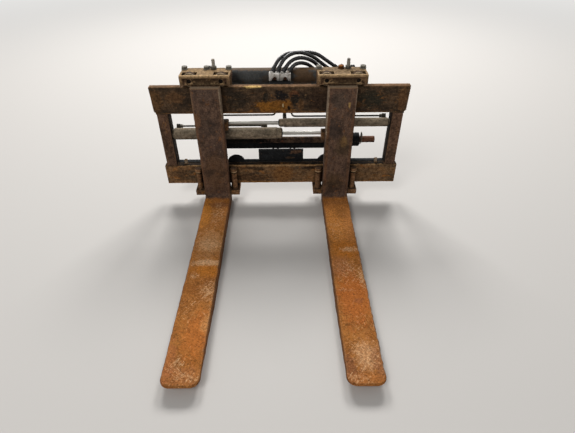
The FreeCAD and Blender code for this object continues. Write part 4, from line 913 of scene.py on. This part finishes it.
FORK_SEAMS = [
    # seams that each fork has: how far off its middle at both ends, behind and up at both ends, radius
    (-62, 62, (-20, 620), (-20, 620), 4), (-FORK_HALF, -FORK_HALF, (-44, 80), (-10, 80), 7),
    (-FORK_HALF, -FORK_HALF, (-46, 54), (-46, 80), 3.5), (FORK_HALF, FORK_HALF, (-44, 80), (-10, 80), 7),
    (FORK_HALF, FORK_HALF, (-46, 54), (-46, 80), 3.5),
]
RINGS = [
    # place and radius of the seams round the tube at the ears and round the pin's bosses, on both sides
    (328, 145, 605, 39), (352, 145, 605, 39), (352, 90, 297, 35),
]
RING_THICKNESS = 3.4
# a ripple's length, its waist as a share of the seam's radius, and how it swells and shrinks again, each
# with where along its step
RIPPLE, RIPPLE_WAIST = 4.5, 0.8
RIPPLE_SHAPE = [(1 / RIPPLE_WAIST, 0.5), (RIPPLE_WAIST, 1.0)]
SEAM_MERGE = 0.01
seams = [("frame", kind, (left, behind, up), (right, behind, up), radius)
         for kind, left, right, behind, up, radius in LEVEL_SEAMS]
for side in (-1, 1):
    for kind, x, start, end, radius in SIDE_SEAMS:
        seams.append(("frame", kind, (side * x, *start), (side * x, *end), radius))
for side, place in FORK_PLACES.items():
    for left, right, start, end, radius in FORK_SEAMS:
        seams.append(("fork_" + side, "bare", (place + left, *start), (place + right, *end), radius))


def bead(start, end, radius):
    """A weld seam: one ripple drawn from a ring, repeated from end to end and closed."""
    way = Vector(end) - Vector(start)
    count = max(3, round(way.length / (RIPPLE * MM)))
    step = way.length / count
    bpy.ops.mesh.primitive_circle_add(vertices=9, radius=radius * RIPPLE_WAIST * MM)
    seam = bpy.context.object
    bpy.ops.object.mode_set(mode="EDIT")
    bpy.ops.mesh.select_all(action="SELECT")
    for share, height in RIPPLE_SHAPE:
        bpy.ops.mesh.extrude_region_move(TRANSFORM_OT_translate={"value": (0, 0, step / 2)})
        bpy.ops.transform.resize(value=(share, share, 1), center_override=(0, 0, step * height))
    bpy.ops.object.mode_set(mode="OBJECT")
    row = seam.modifiers.new("ripples", "ARRAY")
    row.count = count
    row.use_relative_offset = False
    row.use_constant_offset = True
    row.constant_offset_displace = (0, 0, step)
    row.use_merge_vertices = True
    row.merge_threshold = SEAM_MERGE * MM
    bpy.ops.object.modifier_apply(modifier="ripples")
    bpy.ops.object.mode_set(mode="EDIT")
    bpy.ops.mesh.select_all(action="SELECT")
    bpy.ops.mesh.fill_holes(sides=0)
    bpy.ops.mesh.select_all(action="SELECT")
    bpy.ops.mesh.normals_make_consistent(inside=False)
    bpy.ops.object.mode_set(mode="OBJECT")
    return set_down(seam, start, way)


laid = {}
for body, kind, start, end, radius in seams:
    laid.setdefault((body, kind), []).append(bead(at(*start), at(*end), radius))
for side in (-1, 1):
    for x, y, z, reach in RINGS:
        bpy.ops.mesh.primitive_torus_add(
            major_radius=reach * MM, minor_radius=RING_THICKNESS * MM, major_segments=56, minor_segments=8,
            location=at(side * x, y, z), rotation=(0, math.pi / 2, 0))
        fix_shape(bpy.context.object)
        laid[("frame", "black")].append(bpy.context.object)
# Weld metal: brown on the bars, its ripples rubbed lighter, and black under paint at the back.
weld_finish = weathered_steel("rusted_weld", "#553F2E", "#35281D", "#6E4A2A", "#9A7E5E", rusted=0.4, patch=20,
                              wear=1.0)
for (body, kind), beads in laid.items():
    slot, finish = "black_paint", black_finish
    if kind == "bare":
        slot, finish = "rusty_bar_steel" if body == "frame" else "tan_cast_steel", weld_finish
    fit_piece(joined(beads), "%s_%s_welds" % (body, kind), body, slot, finish)
